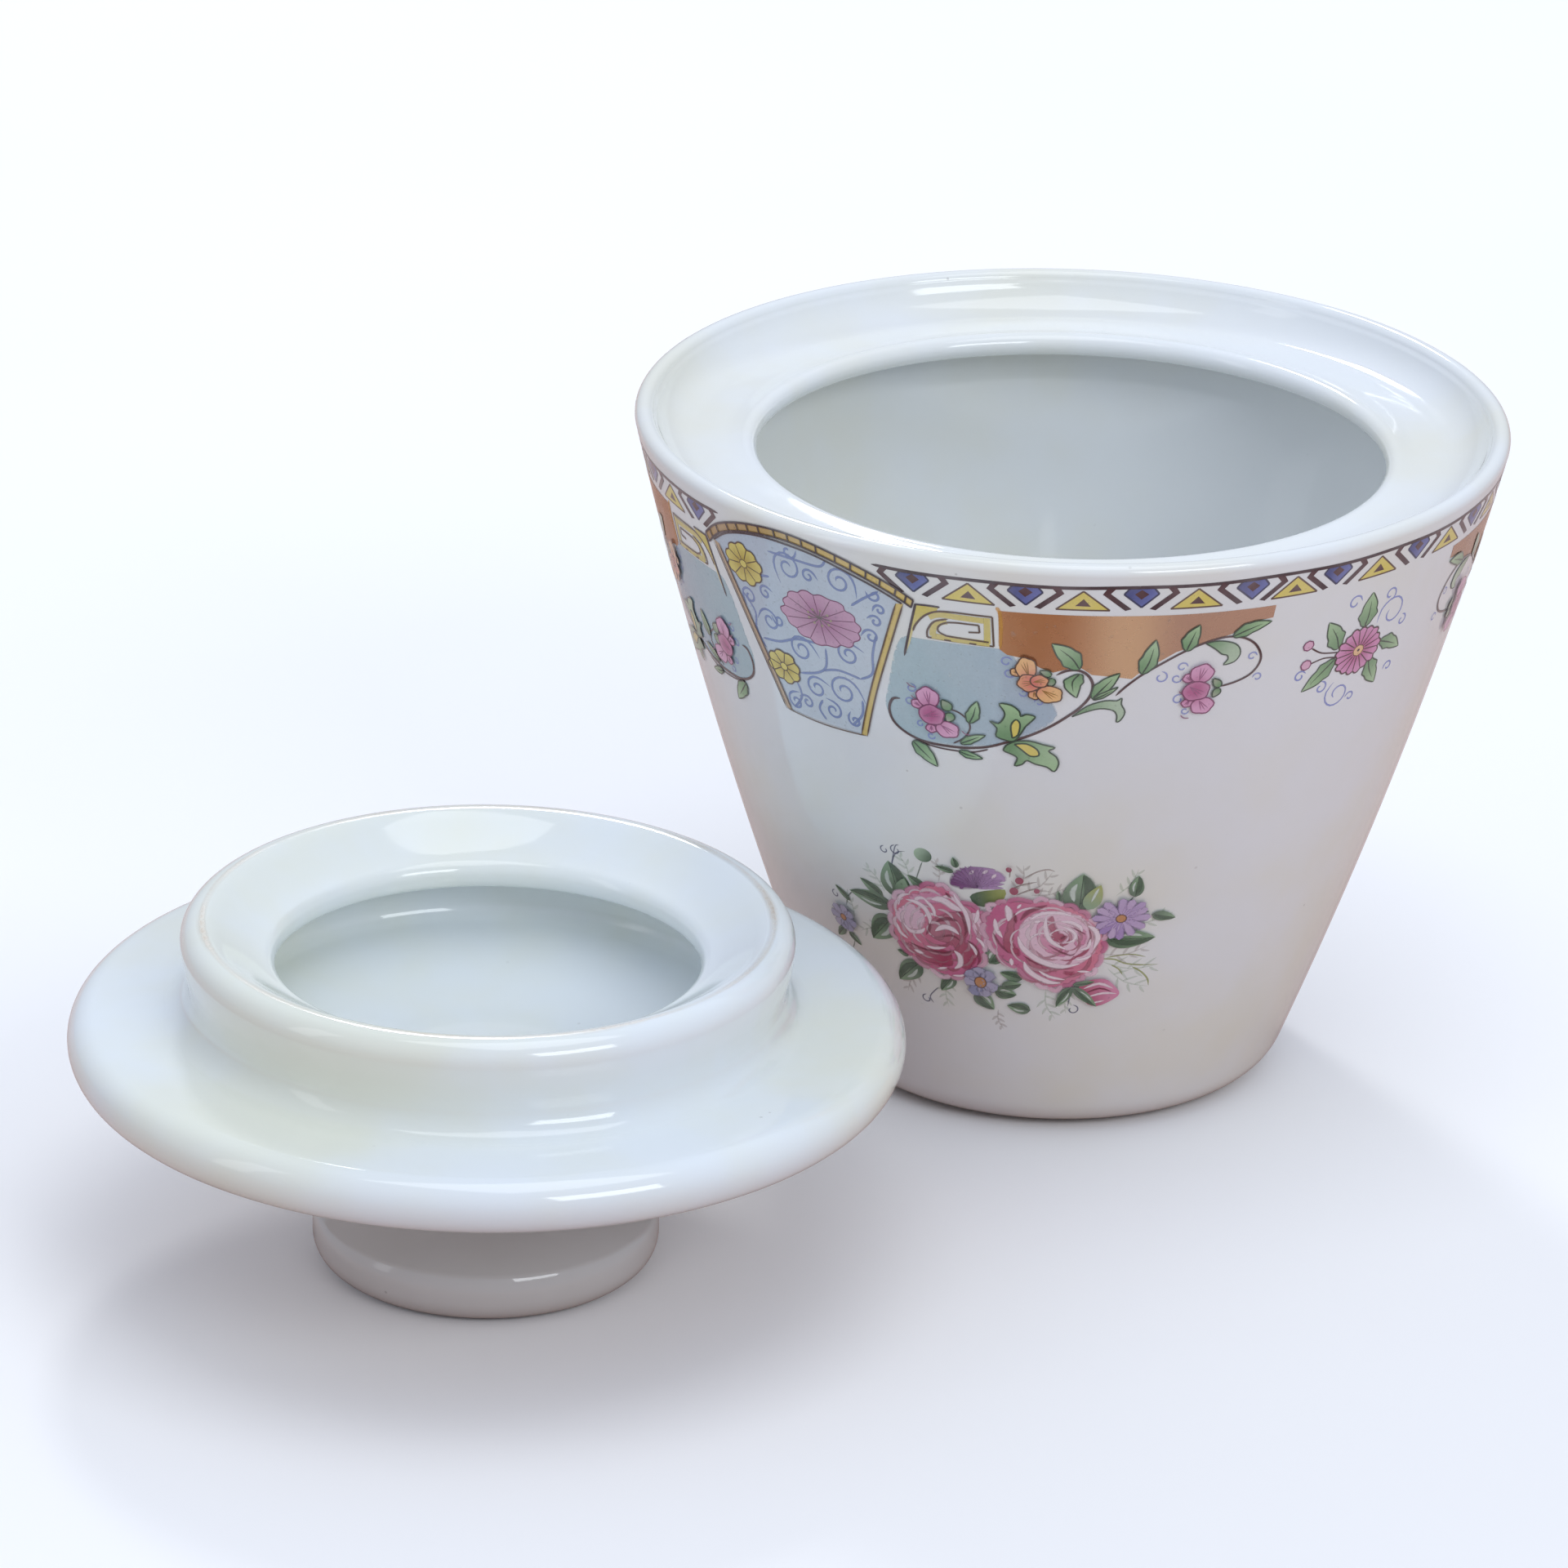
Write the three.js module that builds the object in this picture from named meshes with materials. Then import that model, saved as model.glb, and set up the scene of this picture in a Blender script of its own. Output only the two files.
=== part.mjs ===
import * as THREE from 'three';

// Porcelain powder jar with its lid lying upside down beside it. Millimetres, +Z up.
// The origin is on the table, in the middle of the ground that the two pieces cover.

// Jar
const jarHeight = 94.3;
const rimRadius = 60;            // outside of the mouth's rolled rim
const footRadius = 31.3;         // where the wall's line would meet the table
const wallBow = 1.7;             // how far the wall swells out of a straight cone
const wallThickness = 3.2;
const floorThickness = 4.2;
const footCornerRadius = 7;
const footRingWidth = 4;
const footRingDepth = 1.2;
const rimRoundRadius = 1.3;
const rimLean = 8;               // degrees that the rolled rim leans outward with the wall
const seatDepth = 5.3;           // rim top down to the ledge that carries the lid
const recessRadius = 5.8;        // hollow curve between the ledge and the rim
const mouthRadius = 43.2;        // clear opening inside the ledge
const lipRadius = 1.6;           // half the thickness of the ledge's rounded inner edge
const lipRise = 0.5;             // the rounded edge stands this proud of the ledge
const lipShoulder = 20;          // degrees of that round lost where it runs into the ledge
const ledgeThickness = 3.4;
const shelfCornerRadius = 3;     // under the ledge, where it meets the wall
const insideCornerRadius = 10;

// Lid, measured right way up from the underside of its flange
const flangeClearance = 2.3;     // between the lid's flange and the jar's recess
const collarClearance = 2.9;     // between the lid's collar and the jar's mouth
const flangeEdgeRadius = 3.7;    // half the thickness of the flange's rounded edge
const flangeWellDepth = 0.8;     // the top dips this much inside the rounded edge
const flangeWellWidth = 6;
const collarDepth = 12.8;
const collarEndRadius = 2.9;
const collarWaist = 1.1;         // the collar narrows this much above its rounded end
const collarWall = 3.6;
const collarFilletRadius = 3.5;
const collarEndLap = 20;         // degrees that the collar's rounded end laps over to its inside
const collarEndTuck = 10;        // and to its outside
const lidMouthInset = 12.4;      // from the collar's outside to the lid's own mouth
const lidMouthDrop = 4.2;        // how far that mouth lies inside the collar's end
const lidMouthEdgeRadius = 2.1;
const hollowTilt = 10;           // degrees that the hollow's ceiling and mouth tip from level
const domeRise = 5.5;            // rounded edge's top up to the pad that the knob stands on
const domeOuterShare = 0.2;      // share of the rise reached a third of the way in
const domeInnerShare = 0.62;     // and two thirds of the way in
const domeThickness = 3.7;
const hollowCornerRadius = 3;
const dimpleDepth = 1.4;

// Knob
const knobRadius = 23;
const knobHeight = 22.3;
const knobEdgeRadius = 3.6;
const knobBandHeight = 3.4;      // upright band under the knob's rounded edge
const knobNeckRadius = 12.6;
const knobNeckHeight = 4.6;      // the narrowest place, above the knob's foot
const knobFlareReach = 0.7;      // share of the flare reached before the band turns upright
const knobFootFlare = 3.2;
const padMargin = 2.2;           // the lid's flat pad shows this much round the knob's foot
const lutingGap = 0.3;           // slip joint between the knob and the lid

// Places
const pieceGap = 8.1;            // between the lid's flange and the jar's wall beside it
const lidBearing = 223.7;        // from the jar to the lid, in degrees about +Z

// Fineness of the turned faces
const segments = 48;
const wallSteps = 7;
const insideSteps = 6;
const roundSteps = 6;
const edgeSteps = 8;
const cornerSteps = 5;
const filletSteps = 4;
const touchPasses = 8;           // rounds of settling where a corner meets the leaning wall

const glazeRoughness = 0.12;
const porcelainWhite = 0xe6ebef;
const lidWhite = 0xe4eaf0;
const knobWhite = 0xdfe3e6;

const wallTop = jarHeight - rimRoundRadius;
const ledgeHeight = jarHeight - seatDepth;
const ledgeOuterRadius = rimRadius - 2 * rimRoundRadius - recessRadius;
const flangeRadius = ledgeOuterRadius + recessRadius - flangeClearance;
const collarRadius = mouthRadius - collarClearance;
const padRadius = knobNeckRadius + knobFootFlare + padMargin;
const padHeight = 2 * flangeEdgeRadius + domeRise;
const lidTopHeight = padHeight + lutingGap + knobHeight;

function point(radius, height) {
  return new THREE.Vector2(radius, height);
}

// Points along a round stretch, from one angle to another in degrees.
function arc(centreRadius, centreHeight, radius, fromAngle, toAngle, steps) {
  const points = [];
  for (let step = 0; step <= steps; step += 1) {
    const angle = THREE.MathUtils.degToRad(fromAngle + ((toAngle - fromAngle) * step) / steps);
    points.push(point(centreRadius + radius * Math.cos(angle), centreHeight + radius * Math.sin(angle)));
  }
  return points;
}

function wallRadiusAt(height) {
  const share = height / wallTop;
  return footRadius + (rimRadius - footRadius) * share + 4 * wallBow * share * (1 - share);
}

function wallSlopeAt(height) {
  const share = height / wallTop;
  return (rimRadius - footRadius + 4 * wallBow * (1 - 2 * share)) / wallTop;
}

// Angle below level of the wall's outward normal, in degrees.
function wallLeanAt(height) {
  return THREE.MathUtils.radToDeg(Math.atan(wallSlopeAt(height)));
}

// Round corner tangent to a level face at baseHeight and to the wall set in by inset.
function wallCorner(baseHeight, inset, radius, steps) {
  let touchHeight = baseHeight + radius;
  for (let pass = 0; pass < touchPasses; pass += 1) {
    const lean = THREE.MathUtils.degToRad(wallLeanAt(touchHeight));
    touchHeight = baseHeight + radius * (1 - Math.sin(lean));
  }
  const lean = wallLeanAt(touchHeight);
  const centre = wallRadiusAt(touchHeight) - inset - radius * Math.cos(THREE.MathUtils.degToRad(lean));
  return arc(centre, baseHeight + radius, radius, -90, -lean, steps);
}

function wallPoints(fromHeight, toHeight, inset, steps) {
  const points = [];
  for (let step = 1; step < steps; step += 1) {
    const height = fromHeight + ((toHeight - fromHeight) * step) / steps;
    points.push(point(wallRadiusAt(height) - inset, height));
  }
  return points;
}

function lathe(points) {
  const geometry = new THREE.LatheGeometry(points, segments);
  geometry.rotateX(Math.PI / 2);
  return geometry;
}

function porcelainMesh(name, geometry, color) {
  const material = new THREE.MeshStandardMaterial({ color, roughness: glazeRoughness, metalness: 0 });
  const mesh = new THREE.Mesh(geometry, material);
  mesh.name = name;
  return mesh;
}

function jarProfile() {
  const footCorner = wallCorner(0, 0, footCornerRadius, cornerSteps);
  const insideCorner = wallCorner(floorThickness, wallThickness, insideCornerRadius, cornerSteps);
  const footFlat = footCorner[0].x - footRingWidth;
  const shelfUnderside = ledgeHeight - ledgeThickness;
  const lipHeight = ledgeHeight + lipRise - lipRadius;
  const recessTop = THREE.MathUtils.radToDeg(Math.acos(1 - (seatDepth - rimRoundRadius) / recessRadius));
  const shelfWall = wallRadiusAt(shelfUnderside - shelfCornerRadius) - wallThickness;
  const wallStart = footCorner.at(-1).y;
  const insideStart = insideCorner.at(-1).y;

  const outside = [
    point(0, footRingDepth),
    point(footFlat - footRingDepth, footRingDepth),
    point(footFlat, 0),
    ...footCorner,
    ...wallPoints(wallStart, wallTop, 0, wallSteps),
  ];
  const rim = arc(
    rimRadius - rimRoundRadius, wallTop, rimRoundRadius, -rimLean, 180 - rimLean, roundSteps,
  );
  const ledge = [
    ...arc(
      ledgeOuterRadius, ledgeHeight + recessRadius, recessRadius, recessTop - 90, -90, cornerSteps,
    ),
    point(mouthRadius + 2 * lipRadius + lipRise, ledgeHeight),
    ...arc(mouthRadius + lipRadius, lipHeight, lipRadius, 90 - lipShoulder, 270, roundSteps),
  ];
  const shelf = arc(
    shelfWall - shelfCornerRadius, shelfUnderside - shelfCornerRadius, shelfCornerRadius,
    90, 0, filletSteps,
  );
  const inside = [
    ...wallPoints(
      insideStart, shelfUnderside - shelfCornerRadius, wallThickness, insideSteps,
    ).reverse(),
    ...insideCorner.reverse(),
    point(0, floorThickness),
  ];
  return [...outside, ...rim, ...ledge, ...shelf, ...inside];
}

function lidProfile() {
  const neckRadius = collarRadius - collarWaist;
  const hollowRadius = neckRadius - collarWall;
  const mouthEdgeCentre = collarRadius - lidMouthInset + lidMouthEdgeRadius;
  const mouthEdgeHeight = lidMouthDrop + lidMouthEdgeRadius - collarDepth;
  const collarEndCentre = collarRadius - collarEndRadius;
  const collarEndHeight = collarEndRadius - collarDepth;
  const edgeCentre = flangeRadius - flangeEdgeRadius;
  const wellRadius = edgeCentre - flangeWellWidth;
  const wellHeight = 2 * flangeEdgeRadius - flangeWellDepth;
  const wellRise = padHeight - wellHeight;
  const ceilingHeight = padHeight - domeThickness;
  const hollowEdgeHeight = wellHeight - domeThickness;
  const filletCentre = neckRadius + collarFilletRadius;

  const hollow = [
    point(0, ceilingHeight + dimpleDepth),
    point(padRadius - padMargin - dimpleDepth, ceilingHeight + dimpleDepth),
    point(padRadius - padMargin, ceilingHeight),
    ...arc(
      hollowRadius - hollowCornerRadius, hollowEdgeHeight - hollowCornerRadius, hollowCornerRadius,
      90 - hollowTilt, 0, filletSteps,
    ),
    ...arc(
      hollowRadius - lidMouthEdgeRadius, mouthEdgeHeight + 2 * lidMouthEdgeRadius, lidMouthEdgeRadius,
      0, hollowTilt - 90, filletSteps,
    ),
  ];
  const mouth = arc(
    mouthEdgeCentre, mouthEdgeHeight, lidMouthEdgeRadius, 90, 270 - hollowTilt, roundSteps,
  );
  const collarEnd = arc(
    collarEndCentre, collarEndHeight, collarEndRadius, -90 - collarEndLap, collarEndTuck, roundSteps,
  );
  const fillet = arc(filletCentre, -collarFilletRadius, collarFilletRadius, 180, 90, filletSteps);
  const edge = arc(edgeCentre, flangeEdgeRadius, flangeEdgeRadius, -90, 90, edgeSteps);
  const top = [
    point(wellRadius, wellHeight),
    point((2 * wellRadius + padRadius) / 3, wellHeight + wellRise * domeOuterShare),
    point((wellRadius + 2 * padRadius) / 3, wellHeight + wellRise * domeInnerShare),
    point(padRadius, padHeight),
    point(0, padHeight),
  ];
  return [...hollow, ...mouth, ...collarEnd, ...fillet, ...edge, ...top];
}

// Flared disc on a waisted neck, measured up from its foot.
function knobProfile() {
  const faceRadius = knobRadius - knobEdgeRadius;
  const edgeHeight = knobHeight - knobEdgeRadius;
  const bandHeight = edgeHeight - knobBandHeight;
  const neck = new THREE.CubicBezierCurve(
    point(knobNeckRadius, knobNeckHeight),
    point(knobNeckRadius, (knobNeckHeight + bandHeight) / 2),
    point(
      knobNeckRadius + (knobRadius - knobNeckRadius) * knobFlareReach,
      bandHeight - knobBandHeight / 2,
    ),
    point(knobRadius, bandHeight),
  );
  return [
    point(0, 0),
    point(knobNeckRadius + knobFootFlare, 0),
    point(knobNeckRadius + knobFootFlare / 3, knobNeckHeight / 3),
    ...neck.getPoints(wallSteps),
    ...arc(faceRadius, edgeHeight, knobEdgeRadius, 0, 90, cornerSteps),
    point(0, knobHeight),
  ];
}

const jar = new THREE.Group();
jar.add(porcelainMesh('jar_body', lathe(jarProfile()), porcelainWhite));

const knob = porcelainMesh('lid_knob', lathe(knobProfile()), knobWhite);
knob.position.z = padHeight + lutingGap;

// The lid lies turned over, on the face of its knob.
const lid = new THREE.Group();
lid.add(porcelainMesh('lid_body', lathe(lidProfile()), lidWhite));
lid.add(knob);
lid.rotation.x = Math.PI;
lid.position.z = lidTopHeight;

// The lid's place round the jar, with both moved so that the origin is in the middle of them.
const flangeRestHeight = lidTopHeight - flangeEdgeRadius;
const lidDistance = wallRadiusAt(flangeRestHeight) + pieceGap + flangeRadius;
const bearing = THREE.MathUtils.degToRad(lidBearing);
const lidOffset = new THREE.Vector2(Math.cos(bearing), Math.sin(bearing)).multiplyScalar(lidDistance);
jar.position.x = (-lidOffset.x + flangeRadius - rimRadius) / 2;
jar.position.y = (-lidOffset.y + flangeRadius - rimRadius) / 2;
lid.position.x = jar.position.x + lidOffset.x;
lid.position.y = jar.position.y + lidOffset.y;

const powderJar = new THREE.Group();
powderJar.add(jar, lid);

export default powderJar;
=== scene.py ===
import math
import random

import bmesh
import bpy
from mathutils import Matrix, Vector
from mathutils.geometry import delaunay_2d_cdt


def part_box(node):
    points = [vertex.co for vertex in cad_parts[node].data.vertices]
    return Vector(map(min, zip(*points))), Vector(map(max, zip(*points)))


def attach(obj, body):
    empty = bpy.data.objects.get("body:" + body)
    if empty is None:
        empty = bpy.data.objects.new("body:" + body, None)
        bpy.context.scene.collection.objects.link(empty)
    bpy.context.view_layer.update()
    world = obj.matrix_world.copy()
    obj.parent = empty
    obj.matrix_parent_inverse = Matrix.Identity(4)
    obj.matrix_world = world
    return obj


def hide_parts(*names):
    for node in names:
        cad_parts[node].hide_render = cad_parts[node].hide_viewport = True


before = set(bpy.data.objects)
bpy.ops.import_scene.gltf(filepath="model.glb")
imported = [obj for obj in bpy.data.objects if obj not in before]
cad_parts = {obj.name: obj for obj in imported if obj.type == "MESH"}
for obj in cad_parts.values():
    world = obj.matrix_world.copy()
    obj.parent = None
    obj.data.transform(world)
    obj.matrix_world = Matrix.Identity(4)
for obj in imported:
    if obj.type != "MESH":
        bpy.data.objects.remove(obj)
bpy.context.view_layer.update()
random.seed(41)
mm = 0.001
print("frame loaded:", len(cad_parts), "nodes")


# where the jar, the lid and the knob stand, from the frame
jarLow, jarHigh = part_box("jar_body")
lidLow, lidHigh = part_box("lid_body")
knobLow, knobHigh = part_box("lid_knob")
jarCentre = (jarLow + jarHigh) / 2
lidCentre = (lidLow + lidHigh) / 2
rimRadius = (jarHigh.x - jarLow.x) / 2 / mm
jarHeight = jarHigh.z / mm
flangeRadius = (lidHigh.x - lidLow.x) / 2 / mm
knobRadius = (knobHigh.x - knobLow.x) / 2 / mm
knobHeight = knobHigh.z / mm


# small helpers
def linear(hexColour):
    # "b87850" to scene-linear red, green, blue
    parts = [int(hexColour[i:i + 2], 16) / 255 for i in (0, 2, 4)]
    return tuple(p / 12.92 if p <= 0.04045 else ((p + 0.055) / 1.055) ** 2.4 for p in parts)


def mixed(a, b, share):
    return tuple(x + (y - x) * share for x, y in zip(a, b))


def smoothStep(low, high, value):
    t = min(1.0, max(0.0, (value - low) / (high - low)))
    return t * t * (3 - 2 * t)


def arc(r, z, radius, start, end, steps):
    made = []
    for i in range(steps + 1):
        angle = math.radians(start + (end - start) * i / steps)
        made.append((r + radius * math.cos(angle), z + radius * math.sin(angle)))
    return made


def smoothPath(points, steps=6, closed=False):
    # Catmull-Rom curve through given points
    count = len(points)
    made = []
    for i in range(count if closed else count - 1):
        if closed:
            p0, p1, p2, p3 = (points[(i + k) % count] for k in (-1, 0, 1, 2))
        else:
            p0, p1 = points[max(i - 1, 0)], points[i]
            p2, p3 = points[i + 1], points[min(i + 2, count - 1)]
        for k in range(steps):
            t = k / steps
            made.append(tuple(
                0.5 * (2 * b + (c - a) * t + (2 * a - 5 * b + 4 * c - d) * t * t
                       + (3 * b - a - 3 * c + d) * t ** 3)
                for a, b, c, d in zip(p0, p1, p2, p3)))
    if not closed:
        made.append(tuple(points[-1]))
    return made


# node helpers
def newMaterial(name):
    material = bpy.data.materials.new(name)
    material.use_nodes = True
    return material, material.node_tree, material.node_tree.nodes["Principled BSDF"]


def addNode(tree, kind, **settings):
    node = tree.nodes.new(kind)
    for name, value in settings.items():
        setattr(node, name, value)
    return node


def addNoise(tree, place, scale, detail=3.0, roughness=0.5):
    noise = addNode(tree, "ShaderNodeTexNoise")
    noise.inputs["Scale"].default_value = scale
    noise.inputs["Detail"].default_value = detail
    noise.inputs["Roughness"].default_value = roughness
    tree.links.new(place, noise.inputs["Vector"])
    return noise.outputs["Fac"]


def addRamp(tree, value, low, high, first=0.0, last=1.0):
    ramp = addNode(tree, "ShaderNodeMapRange", interpolation_type="SMOOTHSTEP")
    for name, amount in (("From Min", low), ("From Max", high), ("To Min", first), ("To Max", last)):
        ramp.inputs[name].default_value = amount
    tree.links.new(value, ramp.inputs["Value"])
    return ramp.outputs["Result"]


def addMath(tree, operation, a, b):
    node = addNode(tree, "ShaderNodeMath", operation=operation)
    for socket, value in zip(node.inputs, (a, b)):
        if isinstance(value, (int, float)):
            socket.default_value = value
        else:
            tree.links.new(value, socket)
    return node.outputs[0]


def addMix(tree, factor, a, b):
    node = addNode(tree, "ShaderNodeMix", data_type="RGBA")
    sockets = [s for s in node.inputs if s.name in ("Factor", "A", "B") and s.type in ("VALUE", "RGBA")]
    pick = {s.name: s for s in sockets if s.type == "RGBA"}
    pick["Factor"] = node.inputs[0]
    for name, value in (("Factor", factor), ("A", a), ("B", b)):
        if isinstance(value, (int, float)):
            pick[name].default_value = value
        elif isinstance(value, tuple):
            pick[name].default_value = (*value, 1)
        else:
            tree.links.new(value, pick[name])
    return next(s for s in node.outputs if s.type == "RGBA")


# the fired glaze, shared by every porcelain piece and by the transfers
glaze = {
    "cloudScale": 22,            # slow change of tone; every scale is in waves per metre
    "specksPerMetre": 330.0,
    "speckSize": (0.045, 0.10),  # where a speck starts to fade and where it ends, in shares of its cell
    "speckPatches": 140,         # specks come in patches
    "speckShare": 0.30,          # how dark the iron specks are
    "speckColour": "5c5148",
    "smearScale": 75,
    "roughLow": 0.05,
    "roughHigh": 0.13,
    "rippleScale": 30,
    "ripple": 0.10,              # height of the glaze's slow ripple, in mm
    "peelScale": 420,
    "peelShare": 0.05,           # height of the orange peel against the ripple
    "index": 1.52,
    "coat": 0.35,
    "coatRoughness": 0.02,
    "coatIndex": 1.5,
}


def makeGlazeGroup():
    group = bpy.data.node_groups.new("firedGlaze", "ShaderNodeTree")
    face = group.interface
    face.new_socket("Body Colour", in_out="INPUT", socket_type="NodeSocketColor")
    face.new_socket("Warm Colour", in_out="INPUT", socket_type="NodeSocketColor")
    face.new_socket("Color", in_out="OUTPUT", socket_type="NodeSocketColor")
    face.new_socket("Roughness", in_out="OUTPUT", socket_type="NodeSocketFloat")
    face.new_socket("Height", in_out="OUTPUT", socket_type="NodeSocketFloat")
    ins = group.nodes.new("NodeGroupInput")
    outs = group.nodes.new("NodeGroupOutput")
    place = group.nodes.new("ShaderNodeTexCoord").outputs["Object"]

    # slow change of tone between thin and pooled glaze
    cloud = addRamp(group, addNoise(group, place, glaze["cloudScale"], 4, 0.55), 0.35, 0.7)
    tone = addMix(group, cloud, ins.outputs["Body Colour"], ins.outputs["Warm Colour"])
    # scattered iron specks, each a fraction of a millimetre
    cells = addNode(group, "ShaderNodeTexVoronoi", feature="F1")
    cells.inputs["Scale"].default_value = glaze["specksPerMetre"]
    group.links.new(place, cells.inputs["Vector"])
    dot = addRamp(group, cells.outputs["Distance"], *glaze["speckSize"], 1.0, 0.0)
    chosen = addRamp(group, addNoise(group, place, glaze["speckPatches"], 2, 0.5), 0.60, 0.70)
    speck = addMath(group, "MULTIPLY", addMath(group, "MULTIPLY", dot, chosen), glaze["speckShare"])
    group.links.new(addMix(group, speck, tone, linear(glaze["speckColour"])), outs.inputs["Color"])

    smear = addNoise(group, place, glaze["smearScale"], 4, 0.65)
    smear = addRamp(group, smear, 0.3, 0.75, glaze["roughLow"], glaze["roughHigh"])
    group.links.new(smear, outs.inputs["Roughness"])
    # slow ripple of the glaze, with faint orange peel on it
    slow = addNoise(group, place, glaze["rippleScale"], 1, 0.4)
    fine = addMath(group, "MULTIPLY", addNoise(group, place, glaze["peelScale"], 2, 0.5), glaze["peelShare"])
    group.links.new(addMath(group, "ADD", slow, fine), outs.inputs["Height"])
    return group


glazeGroup = makeGlazeGroup()


def addGlaze(tree, body, warm):
    node = addNode(tree, "ShaderNodeGroup", node_tree=glazeGroup)
    node.inputs["Body Colour"].default_value = (*linear(body), 1)
    node.inputs["Warm Colour"].default_value = (*linear(warm), 1)
    return node


def addRipple(tree, shader, height):
    bump = addNode(tree, "ShaderNodeBump")
    bump.inputs["Distance"].default_value = glaze["ripple"] * mm
    tree.links.new(height, bump.inputs["Height"])
    tree.links.new(bump.outputs["Normal"], shader.inputs["Normal"])


def glossySettings(shader):
    shader.inputs["IOR"].default_value = glaze["index"]
    shader.inputs["Coat Weight"].default_value = glaze["coat"]
    shader.inputs["Coat Roughness"].default_value = glaze["coatRoughness"]
    shader.inputs["Coat IOR"].default_value = glaze["coatIndex"]


# the clay that shows where a piece has no glaze
clay = {
    "colour": "b9a48a",
    "grainScale": 900,
    "grainLow": 0.55,            # the glaze still stains the clay's smoothest grains
    "roughness": 0.5,            # rougher than the glaze by this
}


def porcelainMaterial(name, body, warm, bare=False):
    # a bare piece carries a "bare" attribute where the glaze was wiped off before firing
    material, tree, shader = newMaterial(name)
    group = addGlaze(tree, body, warm)
    colour, rough = group.outputs["Color"], group.outputs["Roughness"]
    if bare:
        mask = addNode(tree, "ShaderNodeAttribute", attribute_name="bare").outputs["Fac"]
        place = tree.nodes.new("ShaderNodeTexCoord").outputs["Object"]
        grain = addRamp(tree, addNoise(tree, place, clay["grainScale"], 4, 0.7), 0.3, 0.7, clay["grainLow"], 1.0)
        share = addMath(tree, "MULTIPLY", mask, grain)
        colour = addMix(tree, share, colour, linear(clay["colour"]))
        rough = addMath(tree, "ADD", rough, addMath(tree, "MULTIPLY", share, clay["roughness"]))
    tree.links.new(colour, shader.inputs["Base Color"])
    tree.links.new(rough, shader.inputs["Roughness"])
    addRipple(tree, shader, group.outputs["Height"])
    glossySettings(shader)
    return material


# turned porcelain
turning = {"segments": 288}


def smoothObject(name, mesh, material):
    made = bpy.data.objects.new(name, mesh)
    bpy.context.scene.collection.objects.link(made)
    made.data.materials.append(material)
    for face in mesh.polygons:
        face.use_smooth = True
    return made


def turned(name, profile, centre, material, bareAt=None):
    # profile: (radius, height) in mm from the axis at the start to the axis at the end
    body = bmesh.new()
    layer = body.verts.layers.float.new("bare")
    rings = []
    for radius, height in profile:
        if radius < 1e-6:
            rings.append([body.verts.new((centre.x, centre.y, height * mm))])
            continue
        ring = []
        for i in range(turning["segments"]):
            angle = 2 * math.pi * i / turning["segments"]
            ring.append(body.verts.new((
                centre.x + radius * mm * math.cos(angle), centre.y + radius * mm * math.sin(angle), height * mm)))
        rings.append(ring)
    for a, b in zip(rings, rings[1:]):
        for i in range(turning["segments"]):
            j = (i + 1) % turning["segments"]
            corners = [a[i % len(a)], a[j % len(a)], b[j % len(b)], b[i % len(b)]]
            unique = [v for k, v in enumerate(corners) if v not in corners[:k]]
            body.faces.new(unique)
    bmesh.ops.recalc_face_normals(body, faces=body.faces)
    if bareAt:
        for ring, (radius, height) in zip(rings, profile):
            for i, vert in enumerate(ring):
                vert[layer] = bareAt(radius, height, 2 * math.pi * i / len(ring))
    mesh = bpy.data.meshes.new(name)
    body.to_mesh(mesh)
    body.free()
    return smoothObject(name, mesh, material)


jar = {
    "footRadius": 31.3,        # where the wall's line would meet the table
    "wallBow": 1.7,
    "wallThickness": 3.2,
    "floorThickness": 4.2,
    "footCorner": 7.0,
    "footRingWidth": 4.0,
    "footRingDepth": 1.2,
    "footRingRound": 0.5,
    "footRecessRound": 0.6,
    "footRecessRun": 3.0,      # from the ring to where the recess is flat
    "bareHeight": 0.35,        # the foot ring is wiped clean up to here
    "rimRound": 1.3,
    "rimLean": 8,              # degrees that the rim leans outward
    "seatDepth": 5.3,
    "recess": 5.8,
    "mouthRadius": 43.2,
    "lipRadius": 1.6,
    "lipRise": 0.5,
    "lipShoulder": (1.6, 0.4),  # how far outside the lip the ledge starts to rise to it, and meets it
    "ledgeThickness": 3.4,
    "shelfCorner": 3.0,
    "insideCorner": 10.0,
}
wallTop = jarHeight - jar["rimRound"]


def wallRadius(height):
    t = height / wallTop
    return jar["footRadius"] + (rimRadius - jar["footRadius"]) * t + 4 * jar["wallBow"] * t * (1 - t)


def wallSlope(height):
    t = height / wallTop
    return (rimRadius - jar["footRadius"] + 4 * jar["wallBow"] * (1 - 2 * t)) / wallTop


def wallCorner(base, inset, radius, steps):
    touch = base + radius
    for _ in range(8):                                      # settles where the round meets the leaning wall
        touch = base + radius * (1 - math.sin(math.atan(wallSlope(touch))))
    lean = math.atan(wallSlope(touch))
    centre = wallRadius(touch) - inset - radius * math.cos(lean)
    return arc(centre, base + radius, radius, -90, -math.degrees(lean), steps)


def wallRun(start, end, inset, steps):
    heights = [start + (end - start) * i / steps for i in range(1, steps)]
    return [(wallRadius(h) - inset, h) for h in heights]


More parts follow.
